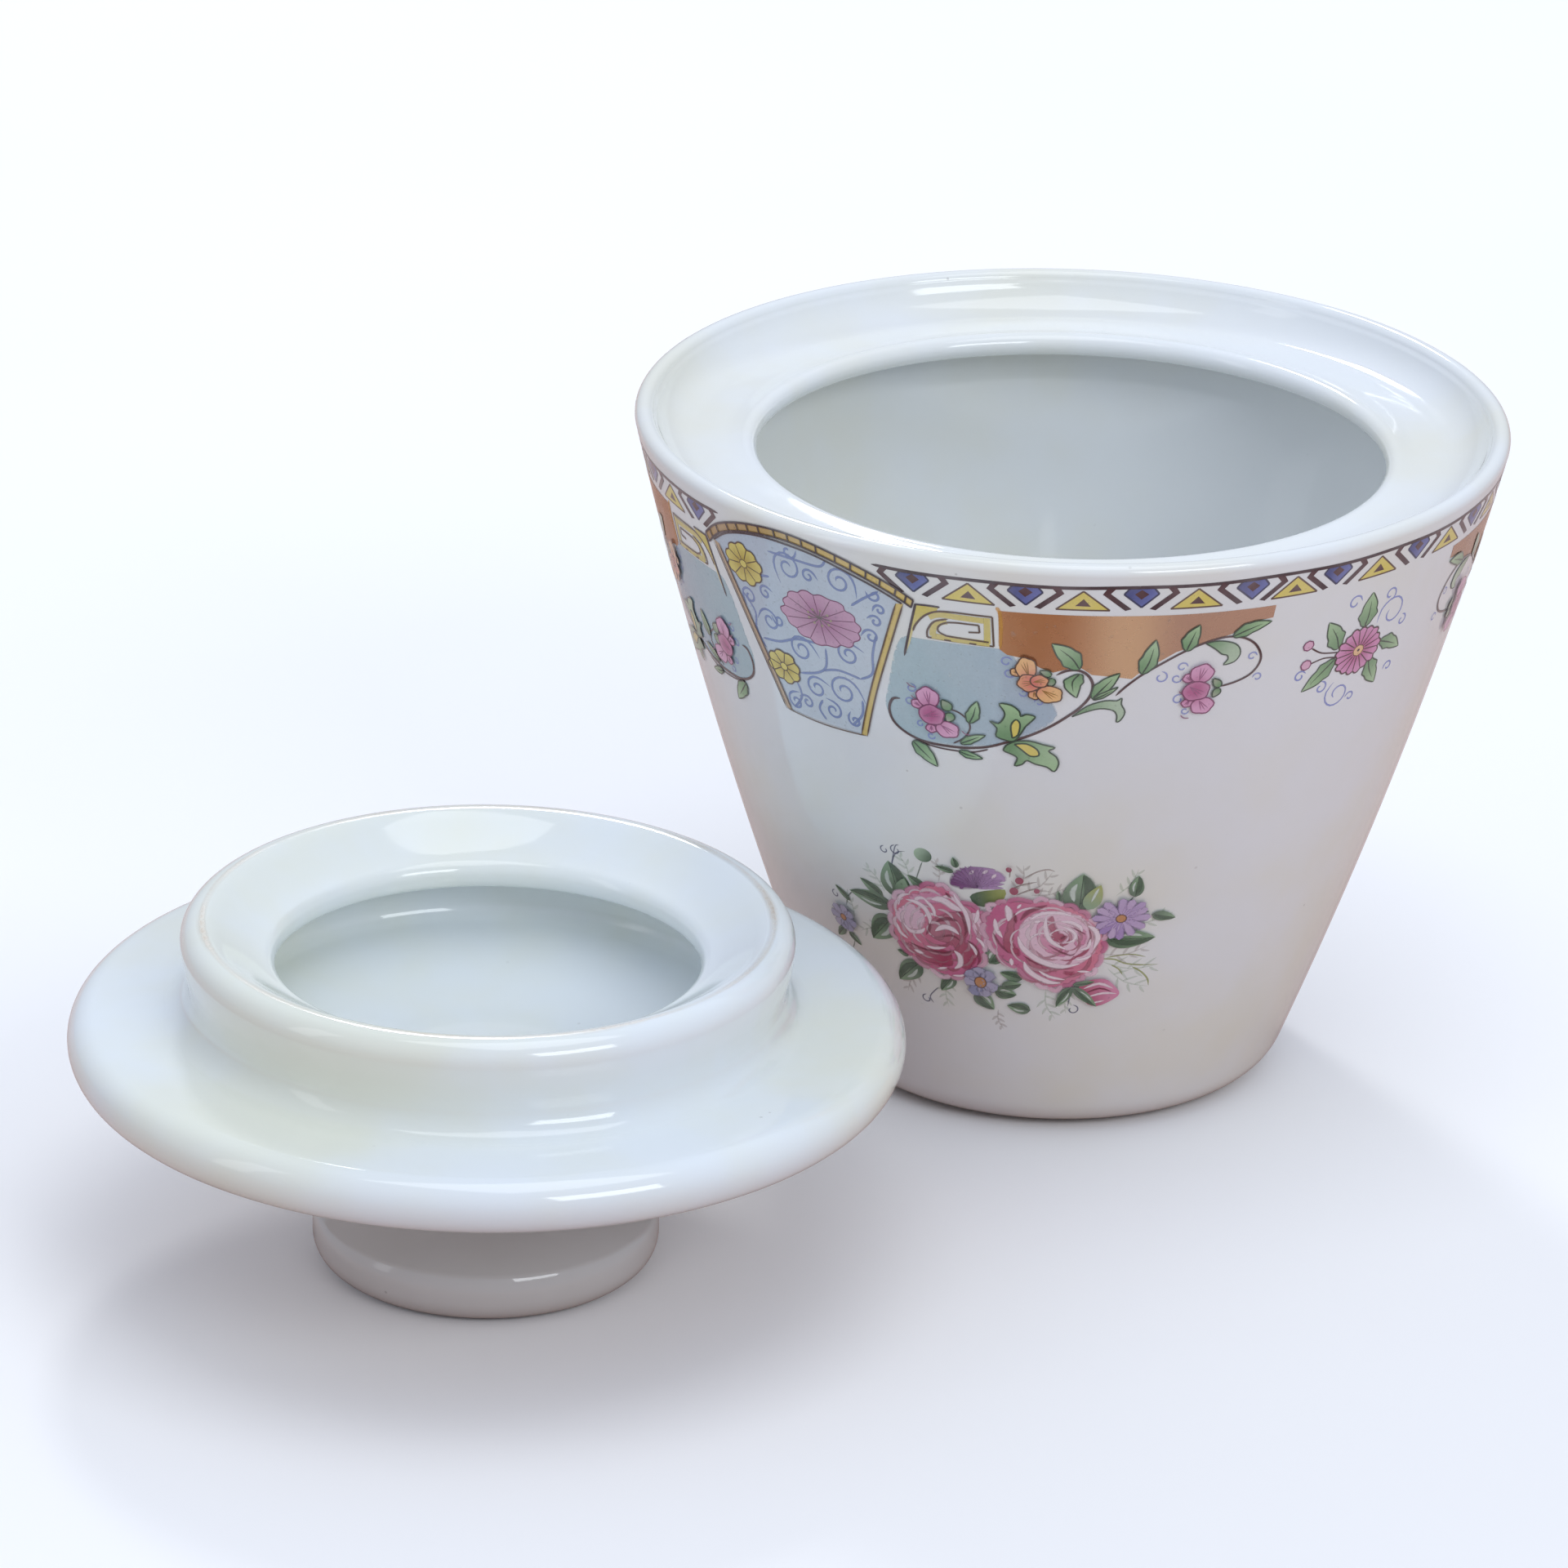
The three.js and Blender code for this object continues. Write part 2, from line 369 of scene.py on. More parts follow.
def jarProfile():
    ledge = jarHeight - jar["seatDepth"]
    corner = wallCorner(0, 0, jar["footCorner"], 12)
    inner = wallCorner(jar["floorThickness"], jar["wallThickness"], jar["insideCorner"], 14)
    ring = corner[0][0] - jar["footRingWidth"]
    outer = rimRadius - 2 * jar["rimRound"] - jar["recess"]
    sweep = math.degrees(math.acos(1 - (jar["seatDepth"] - jar["rimRound"]) / jar["recess"]))
    shelf = ledge - jar["ledgeThickness"]
    shelfWall = wallRadius(shelf - jar["shelfCorner"]) - jar["wallThickness"]
    lip = ledge + jar["lipRise"] - jar["lipRadius"]
    lipFoot = jar["mouthRadius"] + 2 * jar["lipRadius"]
    recess, ringRound = jar["footRecessRound"], jar["footRingRound"]
    outside = [(0, jar["footRingDepth"]), (ring - jar["footRecessRun"], jar["footRingDepth"]),
               *arc(ring - 2 * recess, jar["footRingDepth"] - recess, recess, 90, 20, 4),
               *arc(ring + ringRound, ringRound, ringRound, 200, 270, 4), *corner,
               *wallRun(corner[-1][1], wallTop, 0, 44)]
    rim = arc(rimRadius - jar["rimRound"], wallTop, jar["rimRound"], -jar["rimLean"], 180 - jar["rimLean"], 18)
    seat = [*arc(outer, ledge + jar["recess"], jar["recess"], sweep - 90, -90, 14),
            (outer - 2.0, ledge), (lipFoot + jar["lipShoulder"][0], ledge),
            (lipFoot + jar["lipShoulder"][1], ledge + 0.05),
            *arc(jar["mouthRadius"] + jar["lipRadius"], lip, jar["lipRadius"], 70, 270, 18)]
    under = [(shelfWall - jar["shelfCorner"] - 2, shelf),
             *arc(shelfWall - jar["shelfCorner"], shelf - jar["shelfCorner"], jar["shelfCorner"], 90, 0, 8)]
    inside = [*wallRun(inner[-1][1], shelf - jar["shelfCorner"], jar["wallThickness"], 18)[::-1],
              *inner[::-1], (12, jar["floorThickness"]), (0, jar["floorThickness"])]
    return [*outside, *rim, *seat, *under, *inside]


def footBare(radius, height, angle):
    # the foot ring is wiped clean of glaze
    return 1.0 if height < jar["bareHeight"] and radius > jar["footRadius"] / 2 else 0.0


jarGlaze = porcelainMaterial("jarGlaze", "e8ecee", "e6e6da", bare=True)
jarPiece = turned("jar_porcelain", jarProfile(), jarCentre, jarGlaze, footBare)
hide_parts("jar_body")
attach(jarPiece, "jar")
print("jar turned")


# lid, lying upside down: heights are measured down from its flange's upper face at rest
lid = {
    "edgeRadius": 3.7,
    "wellDepth": 0.8,
    "wellWidth": 6.0,
    "collarGap": 2.9,          # jar's mouth to the collar
    "collarDepth": 12.8,
    "collarEnd": 2.9,
    "waist": 1.1,
    "collarWall": 3.6,
    "fillet": 3.5,
    "mouthInset": 12.4,
    "mouthDrop": 4.2,
    "mouthEdge": 2.1,
    "domeRise": 5.5,
    "domeThickness": 3.7,
    "hollowCorner": 3.0,
    "dimple": 1.4,
    "dimpleInset": 2.2,        # its edge lies this far inside the pad's
    "padRadius": 18.0,
    "bowlCurve": 1.35,         # above 1 the hollow's ceiling falls late
    "dishCurve": 1.15,         # and so does the dished end
    "kilnLine": 0.35,          # narrowest half width of the bare line on the collar, in mm
}
lidTop = (lidHigh.z / mm) - lid["collarDepth"]       # rest height of the flange's flat side


def lidProfile():
    collar = jar["mouthRadius"] - lid["collarGap"]
    neck = collar - lid["waist"]
    hollow = neck - lid["collarWall"]
    mouthCentre = collar - lid["mouthInset"] + lid["mouthEdge"]
    mouthHeight = lid["mouthDrop"] + lid["mouthEdge"] - lid["collarDepth"]
    edge = flangeRadius - lid["edgeRadius"]
    well = edge - lid["wellWidth"]
    wellHeight = 2 * lid["edgeRadius"] - lid["wellDepth"]
    pad = 2 * lid["edgeRadius"] + lid["domeRise"]
    ceiling = pad - lid["domeThickness"]
    hollowEdge = wellHeight - lid["domeThickness"]
    dimple = lid["padRadius"] - lid["dimpleInset"]
    reach = hollow - lid["hollowCorner"] - dimple
    inside = [(r, ceiling + lid["dimple"] * share) for r, share in
              ((0, 1), (6, 0.97), (11, 0.85), (dimple - 2.2, 0.45), (dimple - 0.9, 0.16), (dimple, 0))]
    for i in range(1, 10):                                  # bowl of the hollow
        t = i / 10
        inside.append((dimple + reach * t, ceiling + (hollowEdge - 0.05 - ceiling) * t ** lid["bowlCurve"]))
    inside += arc(hollow - lid["hollowCorner"], hollowEdge - lid["hollowCorner"], lid["hollowCorner"], 80, 0, 10)
    inside += arc(hollow - lid["mouthEdge"], mouthHeight + 2 * lid["mouthEdge"], lid["mouthEdge"], 0, -80, 8)
    mouth = arc(mouthCentre, mouthHeight, lid["mouthEdge"], 90, 260, 16)
    end = arc(collar - lid["collarEnd"], lid["collarEnd"] - lid["collarDepth"], lid["collarEnd"], -110, 10, 16)
    (r0, z0), (r1, z1) = mouth[-1], end[0]
    dish = [(r0 + (r1 - r0) * t, z0 + (z1 - z0) * t ** lid["dishCurve"]) for t in (0.2, 0.4, 0.6, 0.8)]
    fillet = arc(neck + lid["fillet"], -lid["fillet"], lid["fillet"], 180, 90, 12)
    (r0, z0), (r1, z1) = end[-1], fillet[0]
    sideRun = [(r0 + (r1 - r0) * smoothStep(0, 1, t), z0 + (z1 - z0) * t) for t in (0.25, 0.5, 0.75)]
    rounded = arc(edge, lid["edgeRadius"], lid["edgeRadius"], -90, 90, 20)
    top = [(edge - lid["wellWidth"] * t, 2 * lid["edgeRadius"] - lid["wellDepth"] * smoothStep(0, 1, t))
           for t in (0.2, 0.4, 0.6, 0.8, 1.0)]
    top += [(well - (well - lid["padRadius"]) * t, wellHeight + (pad - wellHeight) * smoothStep(0, 1, t))
            for t in (0.12, 0.25, 0.37, 0.5, 0.62, 0.75, 0.87, 1.0)]
    top.append((0, pad))
    upright = [*inside, *mouth, *dish, *end, *sideRun, *fillet,
               (fillet[-1][0] + 3, -0.02), (edge - 2, -0.02), *rounded, *top]
    return [(r, lidTop - z) for r, z in upright]


def collarBare(radius, height, angle):
    # a thin uneven line on the collar's crest that stood bare in the kiln
    crest = jar["mouthRadius"] - lid["collarGap"] - lid["collarEnd"]
    uneven = 0.5 + 0.5 * math.sin(angle * 3 + 1.1) * math.sin(angle * 7 + 0.4)
    off = abs(radius - crest) / (lid["kilnLine"] * (1 + uneven))
    nearEnd = height > lidTop + lid["collarDepth"] - lid["collarEnd"]
    return max(0.0, 1 - off) * (0.35 + 0.65 * uneven) if nearEnd else 0.0


lidGlaze = porcelainMaterial("lidGlaze", "e5ecf0", "e4e7da", bare=True)
lidPiece = turned("lid_porcelain", lidProfile(), lidCentre, lidGlaze, collarBare)
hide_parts("lid_body")
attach(lidPiece, "lid")

knob = {
    "edge": 3.6,
    "band": 3.4,
    "neckRadius": 12.6,
    "neckHeight": 4.6,
    "footFlare": 3.2,
    "flareReach": 0.7,         # share of the way out reached before the band turns upright
}


def bezier(p0, p1, p2, p3, steps):
    made = []
    for i in range(steps + 1):
        t = i / steps
        made.append(tuple(
            a * (1 - t) ** 3 + 3 * b * t * (1 - t) ** 2 + 3 * c * t * t * (1 - t) + d * t ** 3
            for a, b, c, d in zip(p0, p1, p2, p3)))
    return made


def knobProfile():
    foot = knob["neckRadius"] + knob["footFlare"]
    face = knobRadius - knob["edge"]
    edgeHeight = knobHeight - knob["edge"]
    band = edgeHeight - knob["band"]
    narrow = knob["neckRadius"]
    flare = bezier((foot, 0), (foot - 1.6, 0.2), (narrow, 2.2), (narrow, knob["neckHeight"]), 10)
    neck = bezier(flare[-1], (narrow, (knob["neckHeight"] + band) / 2),
                  (narrow + (knobRadius - narrow) * knob["flareReach"], band - knob["band"] / 2),
                  (knobRadius, band), 16)
    upright = [(0, 0), *flare, *neck[1:], *arc(face, edgeHeight, knob["edge"], 0, 90, 14), (8, knobHeight),
               (0, knobHeight)]
    return [(r, knobHeight - z) for r, z in upright]


# the knob's glaze is painted darker than the lid's: painted shade for the shadow that the flange casts over it
knobPaintedShadeGlaze = porcelainMaterial("knobPaintedShadeGlaze", "d0cecb", "c9c6c1")
knobPiece = turned("knob_porcelain", knobProfile(), (knobLow + knobHigh) / 2, knobPaintedShadeGlaze)
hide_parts("lid_knob")
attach(knobPiece, "lid")
print("lid and knob turned")

# the wall as a sheet of paper: degrees round the jar from the front, mm down from the rim
film = {
    "lift": 0.020,        # lowest colour above the glaze, mm
    "step": 0.004,        # each later stroke lies this much higher, mm
    "grid": 1.1,          # largest triangle in a filled shape, mm
    "rowStep": 0.5,       # rows of the depth table lie this far apart, mm
    "lowest": 5,          # and end at this height
}


def makeDepthTable():
    rows = [(0.0, wallTop)]
    height, step = wallTop, film["rowStep"]
    while height > film["lowest"]:
        rows.append((rows[-1][0] + step * math.hypot(1, wallSlope(height)), height - step))
        height -= step
    return rows


depthTable = makeDepthTable()


def heightAt(depth):
    depth = max(0.0, depth)
    low, high = 0, len(depthTable) - 1
    while high - low > 1:
        middle = (low + high) // 2
        if depthTable[middle][0] > depth:
            high = middle
        else:
            low = middle
    (d0, h0), (d1, h1) = depthTable[low], depthTable[high]
    return h0 + (h1 - h0) * (depth - d0) / (d1 - d0)


def mmPerDegree(depth):
    return math.radians(wallRadius(heightAt(depth)))


def wallSpot(angle, depth, lift):
    height = heightAt(depth)
    lean = math.atan(wallSlope(height))
    radius = wallRadius(height) + lift * math.cos(lean)
    across, ahead = math.sin(math.radians(angle)), -math.cos(math.radians(angle))
    out = Vector((across * math.cos(lean), ahead * math.cos(lean), -math.sin(lean)))
    spot = Vector((jarCentre.x + radius * mm * across, jarCentre.y + radius * mm * ahead,
                   (height - lift * math.sin(lean)) * mm))
    return spot, out


def newSheet():
    return {"verts": [], "faces": [], "ink": [], "normals": [], "layer": 0, "map": lambda a, s: (a, s)}


def addSpots(sheet, points, tones):
    # points are (degrees, mm down), tones are (red, green, blue, cover); returns the first new index
    first = len(sheet["verts"])
    lift = film["lift"] + film["step"] * sheet["layer"]
    for (angle, depth), tone in zip(points, tones):
        spot, out = wallSpot(*sheet["map"](angle, depth), lift)
        sheet["verts"].append(spot)
        sheet["normals"].append(out)
        sheet["ink"].append(tone)
    return first


def brush(sheet, points, width, colour, cover=1.0, soft=0.45, taper=(0.25, 0.25), steps=5, lay=True):
    # one stroke along a curve through the points, thinner at its ends, with soft edges
    path = smoothPath(points, steps if len(points) > 2 else max(steps, 3))
    count = len(path)
    scale = mmPerDegree(points[0][1])
    flat = [(a * scale, s) for a, s in path]
    for i in range(count):
        x0, y0 = flat[max(i - 1, 0)]
        x1, y1 = flat[min(i + 1, count - 1)]
        length = math.hypot(x1 - x0, y1 - y0) or 1
        nx, ny = -(y1 - y0) / length, (x1 - x0) / length
        t = i / (count - 1)
        grow = min([1.0] + [0.15 + way / run for way, run in zip((t, 1 - t), taper) if run])
        half = width * 0.5 * grow
        x, y = flat[i]
        row = [((x + nx * half * k) / scale, y + ny * half * k) for k in (-1, soft - 1, 1 - soft, 1)]
        first = addSpots(sheet, row, [(*colour, share) for share in (0, cover, cover, 0)])
        if i:
            for k in range(3):
                sheet["faces"].append((first - 4 + k, first - 3 + k, first + 1 + k, first + k))
    if lay:
        sheet["layer"] += 1


def isInside(x, y, outline):
    inside = False
    for (x0, y0), (x1, y1) in zip(outline, outline[1:] + outline[:1]):
        if (y0 > y) != (y1 > y) and x < x0 + (x1 - x0) * (y - y0) / (y1 - y0):
            inside = not inside
    return inside


def shortSides(points, longest=1.6):
    # splits long sides so that they follow the round wall
    made = []
    for (a0, s0), (a1, s1) in zip(points, points[1:] + points[:1]):
        count = max(1, math.ceil(math.hypot(a1 - a0, s1 - s0) / longest))
        made += [(a0 + (a1 - a0) * i / count, s0 + (s1 - s0) * i / count) for i in range(count)]
    return made


def fill(sheet, points, colour, cover=1.0, tone=None, steps=4, soft=False, grid=None, smooth=True):
    # one closed shape; tone(angle, depth) gives a colour of its own to each point
    outline = smoothPath(points, steps, closed=True) if smooth else shortSides(points)
    scale = mmPerDegree(points[0][1])
    flat = [(a * scale, s) for a, s in outline]
    pitch = grid or film["grid"]
    xs, ys = [p[0] for p in flat], [p[1] for p in flat]
    inner = []
    for j in range(int((max(ys) - min(ys)) / pitch) + 1):
        for i in range(int((max(xs) - min(xs)) / pitch) + 1):
            x = min(xs) + (i + 0.5 + 0.25 * (j % 2)) * pitch
            y = min(ys) + (j + 0.5) * pitch
            if isInside(x, y, flat) and min((x - a) ** 2 + (y - b) ** 2 for a, b in flat) > (0.3 * pitch) ** 2:
                inner.append((x, y))
    edges = [(i, (i + 1) % len(flat)) for i in range(len(flat))]
    found = delaunay_2d_cdt([Vector(p) for p in flat + inner], edges, [], 1, 1e-6)
    spots = [(v.x / scale, v.y) for v in found[0]]
    edge = len(flat) if soft else 0                        # a soft shape fades out at its outline
    tones = [(*(tone(a, s) if tone else colour), 0 if i < edge else cover) for i, (a, s) in enumerate(spots)]
    first = addSpots(sheet, spots, tones)
    sheet["faces"] += [tuple(first + i for i in face) for face in found[2]]
    sheet["layer"] += 1


def along(start, end, first, last):
    # colour that changes from one point to another
    dx, dy = end[0] - start[0], end[1] - start[1]
    size = dx * dx + dy * dy
    return lambda a, s: mixed(first, last, smoothStep(0, 1, ((a - start[0]) * dx + (s - start[1]) * dy) / size))


def fromMiddle(centre, size, first, last):
    return lambda a, s: mixed(
        first, last, smoothStep(0, 1, math.hypot((a - centre[0]) / size[0], (s - centre[1]) / size[1])))


def oval(centre, size, count=12):
    # size is half width in degrees and half height in mm
    angles = [2 * math.pi * i / count for i in range(count)]
    return [(centre[0] + size[0] * math.cos(a), centre[1] + size[1] * math.sin(a)) for a in angles]


def closed(points):
    return list(points) + [points[0]]


def finishSheet(name, sheet, material):
    mesh = bpy.data.meshes.new(name)
    mesh.from_pydata([tuple(v) for v in sheet["verts"]], [], sheet["faces"])
    colours = mesh.color_attributes.new("ink", "FLOAT_COLOR", "POINT")
    colours.data.foreach_set("color", [c for ink in sheet["ink"] for c in ink])
    # every face looks outward
    flip = [p.index for p in mesh.polygons if p.normal.dot(sheet["normals"][p.vertices[0]]) < 0]
    if flip:
        body = bmesh.new()
        body.from_mesh(mesh)
        body.faces.ensure_lookup_table()
        bmesh.ops.reverse_faces(body, faces=[body.faces[i] for i in flip])
        body.to_mesh(mesh)
        body.free()
    made = smoothObject(name, mesh, material)
    mesh.normals_split_custom_set_from_vertices([tuple(n) for n in sheet["normals"]])
    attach(made, "jar")


# colours of the printed transfer, and the two finishes it is fired in
inks = {name: linear(value) for name, value in {
    "line": "3b2129", "maroon": "4a1a22", "navy": "2b3158", "blue": "6a75b6", "deepBlue": "3f4a86",
    "yellow": "e3d265", "yellowDark": "b59a34", "brown": "5a3c26", "brick": "e0c56f", "lilacGround": "c5d4e2",
    "scroll": "8699cc", "pink": "cf9fbc", "pinkDeep": "a96a92", "petal": "dd94c2", "petalDeep": "b0447f",
    "pinkPale": "e3b4cc", "pinkLine": "86406a", "green": "a9cc9c", "greenDeep": "6c9a68", "greenDark": "2e4a33",
    "olive": "a3ad55",
    "skyGround": "bcd8e0", "orange": "f1b64a", "coral": "dd7166", "heart": "efc391", "paleBlue": "93a0de",
    "rose": "cb6591", "roseMid": "de8db0", "rosePale": "f0cbdc", "roseWhite": "fbeaf1", "crimson": "ac2d5a",
    "crimsonDark": "861a42", "leafDark": "4d6a50", "leafMid": "84a580", "leafPale": "b4cdae", "leafGlint": "e2f0e4",
    "purple": "763d78", "purplePale": "bb94c4", "asterPetal": "ab8cc6", "asterDark": "6d4c8f", "slate": "8890b8",
    "slateDark": "53597f", "amber": "c58a55", "sprig": "b3a49c", "berry": "a14a62", "shade": "4b2c2c",
}.items()}

transfer = {
    "pinholes": 0.35,          # how strongly the glaze shows through the worn print
    "patch": 0.12,             # most that the soft patches pale a colour
    "patchTone": "f1eef0",
    "grain": 0.08,             # most that the grain darkens it
    "grainTone": "3a2c30",
}
lustre = {
    "thinTone": "d9a98c",
    "thinShare": 0.35,
    "rubbed": 0.7,             # cover that is left where it is rubbed
    "roughness": (0.20, 0.34),
    "metallic": 0.6,
}


def inkMaterial():
    material, tree, shader = newMaterial("transferInk")
    place = tree.nodes.new("ShaderNodeTexCoord").outputs["Object"]
    ink = addNode(tree, "ShaderNodeAttribute", attribute_name="ink")
    # the print is uneven: it is denser in soft patches and carries a fine grain
    patch = addRamp(tree, addNoise(tree, place, 160, 3, 0.6), 0.25, 0.75, 0.0, transfer["patch"])
    tone = addMix(tree, patch, ink.outputs["Color"], linear(transfer["patchTone"]))
    grain = addRamp(tree, addNoise(tree, place, 2600, 2, 0.6), 0.2, 0.8, 0.0, transfer["grain"])
    tone = addMix(tree, grain, tone, linear(transfer["grainTone"]))
    tree.links.new(tone, shader.inputs["Base Color"])
    worn = addRamp(tree, addNoise(tree, place, 1500, 2, 0.55), 0.62, 0.80, 1.0, 1 - transfer["pinholes"])
    tree.links.new(addMath(tree, "MULTIPLY", ink.outputs["Alpha"], worn), shader.inputs["Alpha"])
    group = addGlaze(tree, "ffffff", "ffffff")
    tree.links.new(group.outputs["Roughness"], shader.inputs["Roughness"])
    addRipple(tree, shader, group.outputs["Height"])
    glossySettings(shader)
    return material


def lustreMaterial():
    material, tree, shader = newMaterial("copperLustre")
    place = tree.nodes.new("ShaderNodeTexCoord").outputs["Object"]
    ink = addNode(tree, "ShaderNodeAttribute", attribute_name="ink")
    cloud = addRamp(tree, addNoise(tree, place, 60, 4, 0.6), 0.25, 0.75, 0.0, lustre["thinShare"])
    tone = addMix(tree, cloud, ink.outputs["Color"], linear(lustre["thinTone"]))
    tree.links.new(tone, shader.inputs["Base Color"])
    rub = addRamp(tree, addNoise(tree, place, 900, 3, 0.6), 0.60, 0.78, 1.0, lustre["rubbed"])
    tree.links.new(addMath(tree, "MULTIPLY", ink.outputs["Alpha"], rub), shader.inputs["Alpha"])
    rough = addRamp(tree, addNoise(tree, place, 240, 4, 0.65), 0.3, 0.7, *lustre["roughness"])
    tree.links.new(rough, shader.inputs["Roughness"])
    shader.inputs["Metallic"].default_value = lustre["metallic"]
    group = addGlaze(tree, "ffffff", "ffffff")
    addRipple(tree, shader, group.outputs["Height"])
    return material


inkGlaze = inkMaterial()
lustreGlaze = lustreMaterial()

# border of diamonds, brackets and triangles under the rim
border = {
    "runs": [(-22.0, 14.75, 4), (34.9, 14.75, 6), (145.3, 14.8, 5), (226.7, 14.8, 6)],  # first, pitch, count
    "top": 1.74,                   # of the line along it
    "lineGap": 13.0,               # half of the gap that the line leaves over each fan
    "fans": (-40.6, 126.6),        # middles of the two fans
    "fanHalf": 17.6,
    "gemMargin": 0.2,              # room that a diamond and a triangle need beside a fan
    "triangleMargin": 3.6,
    "gem": [(-1.5, 1.75), (1.5, 1.75), (2.25, 2.75), (0.1, 4.85), (-2.25, 2.75)],
    "gemHeart": [(-0.9, 2.75), (0, 2.05), (0.95, 2.8), (0, 3.6)],
    "bracket": [(-4.3, 1.7), (-3.2, 1.75), (-3.95, 2.65), (-1.15, 5.1), (-1.95, 5.35), (-4.95, 2.75)],
    "triangle": [(-3.45, 5.25), (0, 2.3), (3.45, 5.3)],
    "triangleHeart": [(-1.0, 4.65), (0.05, 3.5), (1.0, 4.7)],
}
mirrorAxis = 43.0


def aside(middle, points, hand=1):
    return [(middle + hand * a, s) for a, s in points]


def ruledEdge(sheet, outline, width, colour):
    for a, b in zip(closed(outline), closed(outline)[1:]):
        brush(sheet, [a, b], width, colour, taper=(0, 0), soft=0.3, lay=False)
    sheet["layer"] += 1


def addDiamond(sheet, middle):
    body = aside(middle, border["gem"])
    fill(sheet, body, inks["blue"], tone=along((middle - 1.5, 2), (middle + 1.6, 4.4), inks["deepBlue"], inks["blue"]),
         smooth=False)
    fill(sheet, aside(middle, border["gemHeart"]), inks["maroon"], smooth=False)
    ruledEdge(sheet, body, 0.3, inks["navy"])
    for hand in (1, -1):
        side = aside(middle, border["bracket"], hand)
        fill(sheet, side, inks["maroon"], smooth=False, tone=along(side[0], side[3], inks["maroon"], inks["line"]))


def addTriangle(sheet, middle):
    body = aside(middle, border["triangle"])
    fill(sheet, body, inks["yellow"], smooth=False)
    fill(sheet, aside(middle, border["triangleHeart"]), inks["maroon"], smooth=False,
         tone=along((middle, 3.5), (middle, 4.7), inks["brown"], inks["maroon"]))
    ruledEdge(sheet, body, 0.28, inks["brown"])


def clearOfFans(angle, margin):
    return all(abs((angle - fan + 180) % 360 - 180) > border["fanHalf"] + margin for fan in border["fans"])


def makeBorder():
    sheet = newSheet()
    places = sorted(first + pitch * i for first, pitch, count in border["runs"] for i in range(count))
    for place in places:
        sheet["layer"] = 0
        if clearOfFans(place, border["gemMargin"]):
            addDiamond(sheet, place)
    for here, there in zip(places, places[1:] + [places[0] + 360]):
        sheet["layer"] = 0
        middle = (here + there) / 2
        if clearOfFans(middle, border["triangleMargin"]):
            addTriangle(sheet, middle)
    # the maroon line along the top, a little uneven, left open over each fan
    sheet["layer"] = 3
    west, east = border["fans"]
    gap = border["lineGap"]
    for low, high in ((west + gap, east - gap), (east + gap, west + 360 - gap)):
        count = int((high - low) / 4)
        points = [(low + (high - low) * i / count,
                   border["top"] + 0.07 * math.sin(i * 1.3) + 0.05 * math.sin(i * 0.37)) for i in range(count + 1)]
        brush(sheet, points, 0.6, inks["line"], soft=0.3, taper=(0.01, 0.01), steps=4)
    finishSheet("border_transfer", sheet, inkGlaze)


makeBorder()
print("border printed")


# small motifs that the panels, vines and bouquets share
def curl(sheet, centre, radius, start, turns, colour, width=0.3, hand=1, ratio=0.28, cover=0.8, tail=0.0):
    # a scroll that winds inward; radius in mm, start in degrees
    scale = mmPerDegree(centre[1])
    count = max(6, int(abs(turns) * 9))
    points = []
    if tail:                                                # a stalk that runs into the scroll
        way = math.radians(start - hand * 80)
        reach = math.hypot(radius, tail)
        points.append((centre[0] + reach * math.cos(way * 0.5 + math.radians(start) * 0.5) / scale,
                       centre[1] - reach * math.sin(way * 0.5 + math.radians(start) * 0.5)))
    for i in range(count + 1):
        t = i / count
        angle = math.radians(start + hand * 360 * turns * t)
        r = radius * (1 - (1 - ratio) * t ** 0.9)
        points.append((centre[0] + r * math.cos(angle) / scale, centre[1] - r * math.sin(angle)))
    brush(sheet, points, width, colour, cover, 0.5, (0.1, 0.12), 2, lay=False)


def alongside(base, tip, bend=0.0):
    # gives the spot at a share of the way from base to tip and at an offset from it, in mm
    scale = mmPerDegree(base[1])
    ax, ay = (tip[0] - base[0]) * scale, tip[1] - base[1]
    length = math.hypot(ax, ay)
    nx, ny = -ay / length, ax / length

    def spot(t, side):
        off = bend * math.sin(math.pi * t) + side
        return (base[0] + (ax * t + nx * off) / scale, base[1] + ay * t + ny * off)

    return spot


def leaf(sheet, base, tip, width, bend=0.0, colour=None, dark=None, line=None, lobes=3, cut=0.16, vein=True):
    # pointed leaf from base to tip; width and bend in mm
    colour, dark = colour or inks["green"], dark or inks["greenDeep"]
    spot = alongside(base, tip, bend)
    lineWidth = 0.26

    def halfWidth(t):
        wave = 1 - cut * abs(math.sin(math.pi * lobes * t)) if lobes else 1
        return width * 0.5 * math.sin(math.pi * t ** 0.72) ** 0.85 * wave + 0.02

    steps = 5 * max(lobes, 2)
    left = [spot(i / steps, halfWidth(i / steps)) for i in range(1, steps)]
    right = [spot(i / steps, -halfWidth(i / steps)) for i in range(1, steps)]
    fill(sheet, [base, *left, tip, *right[::-1]], colour, 1, along(base, tip, dark, colour), steps=1)
    if line:
        for side in (left, right):
            brush(sheet, [base, *side[::2], tip], lineWidth, line, 1, 0.4, (0.05, 0.05), 2, lay=False)
    if vein:
        brush(sheet, [spot(0, 0), spot(0.35, 0.05 * width), spot(0.75, 0)], lineWidth * 1.1, line or dark, 0.85,
              0.5, (0.05, 0.6), 4, lay=False)
    sheet["layer"] += 1


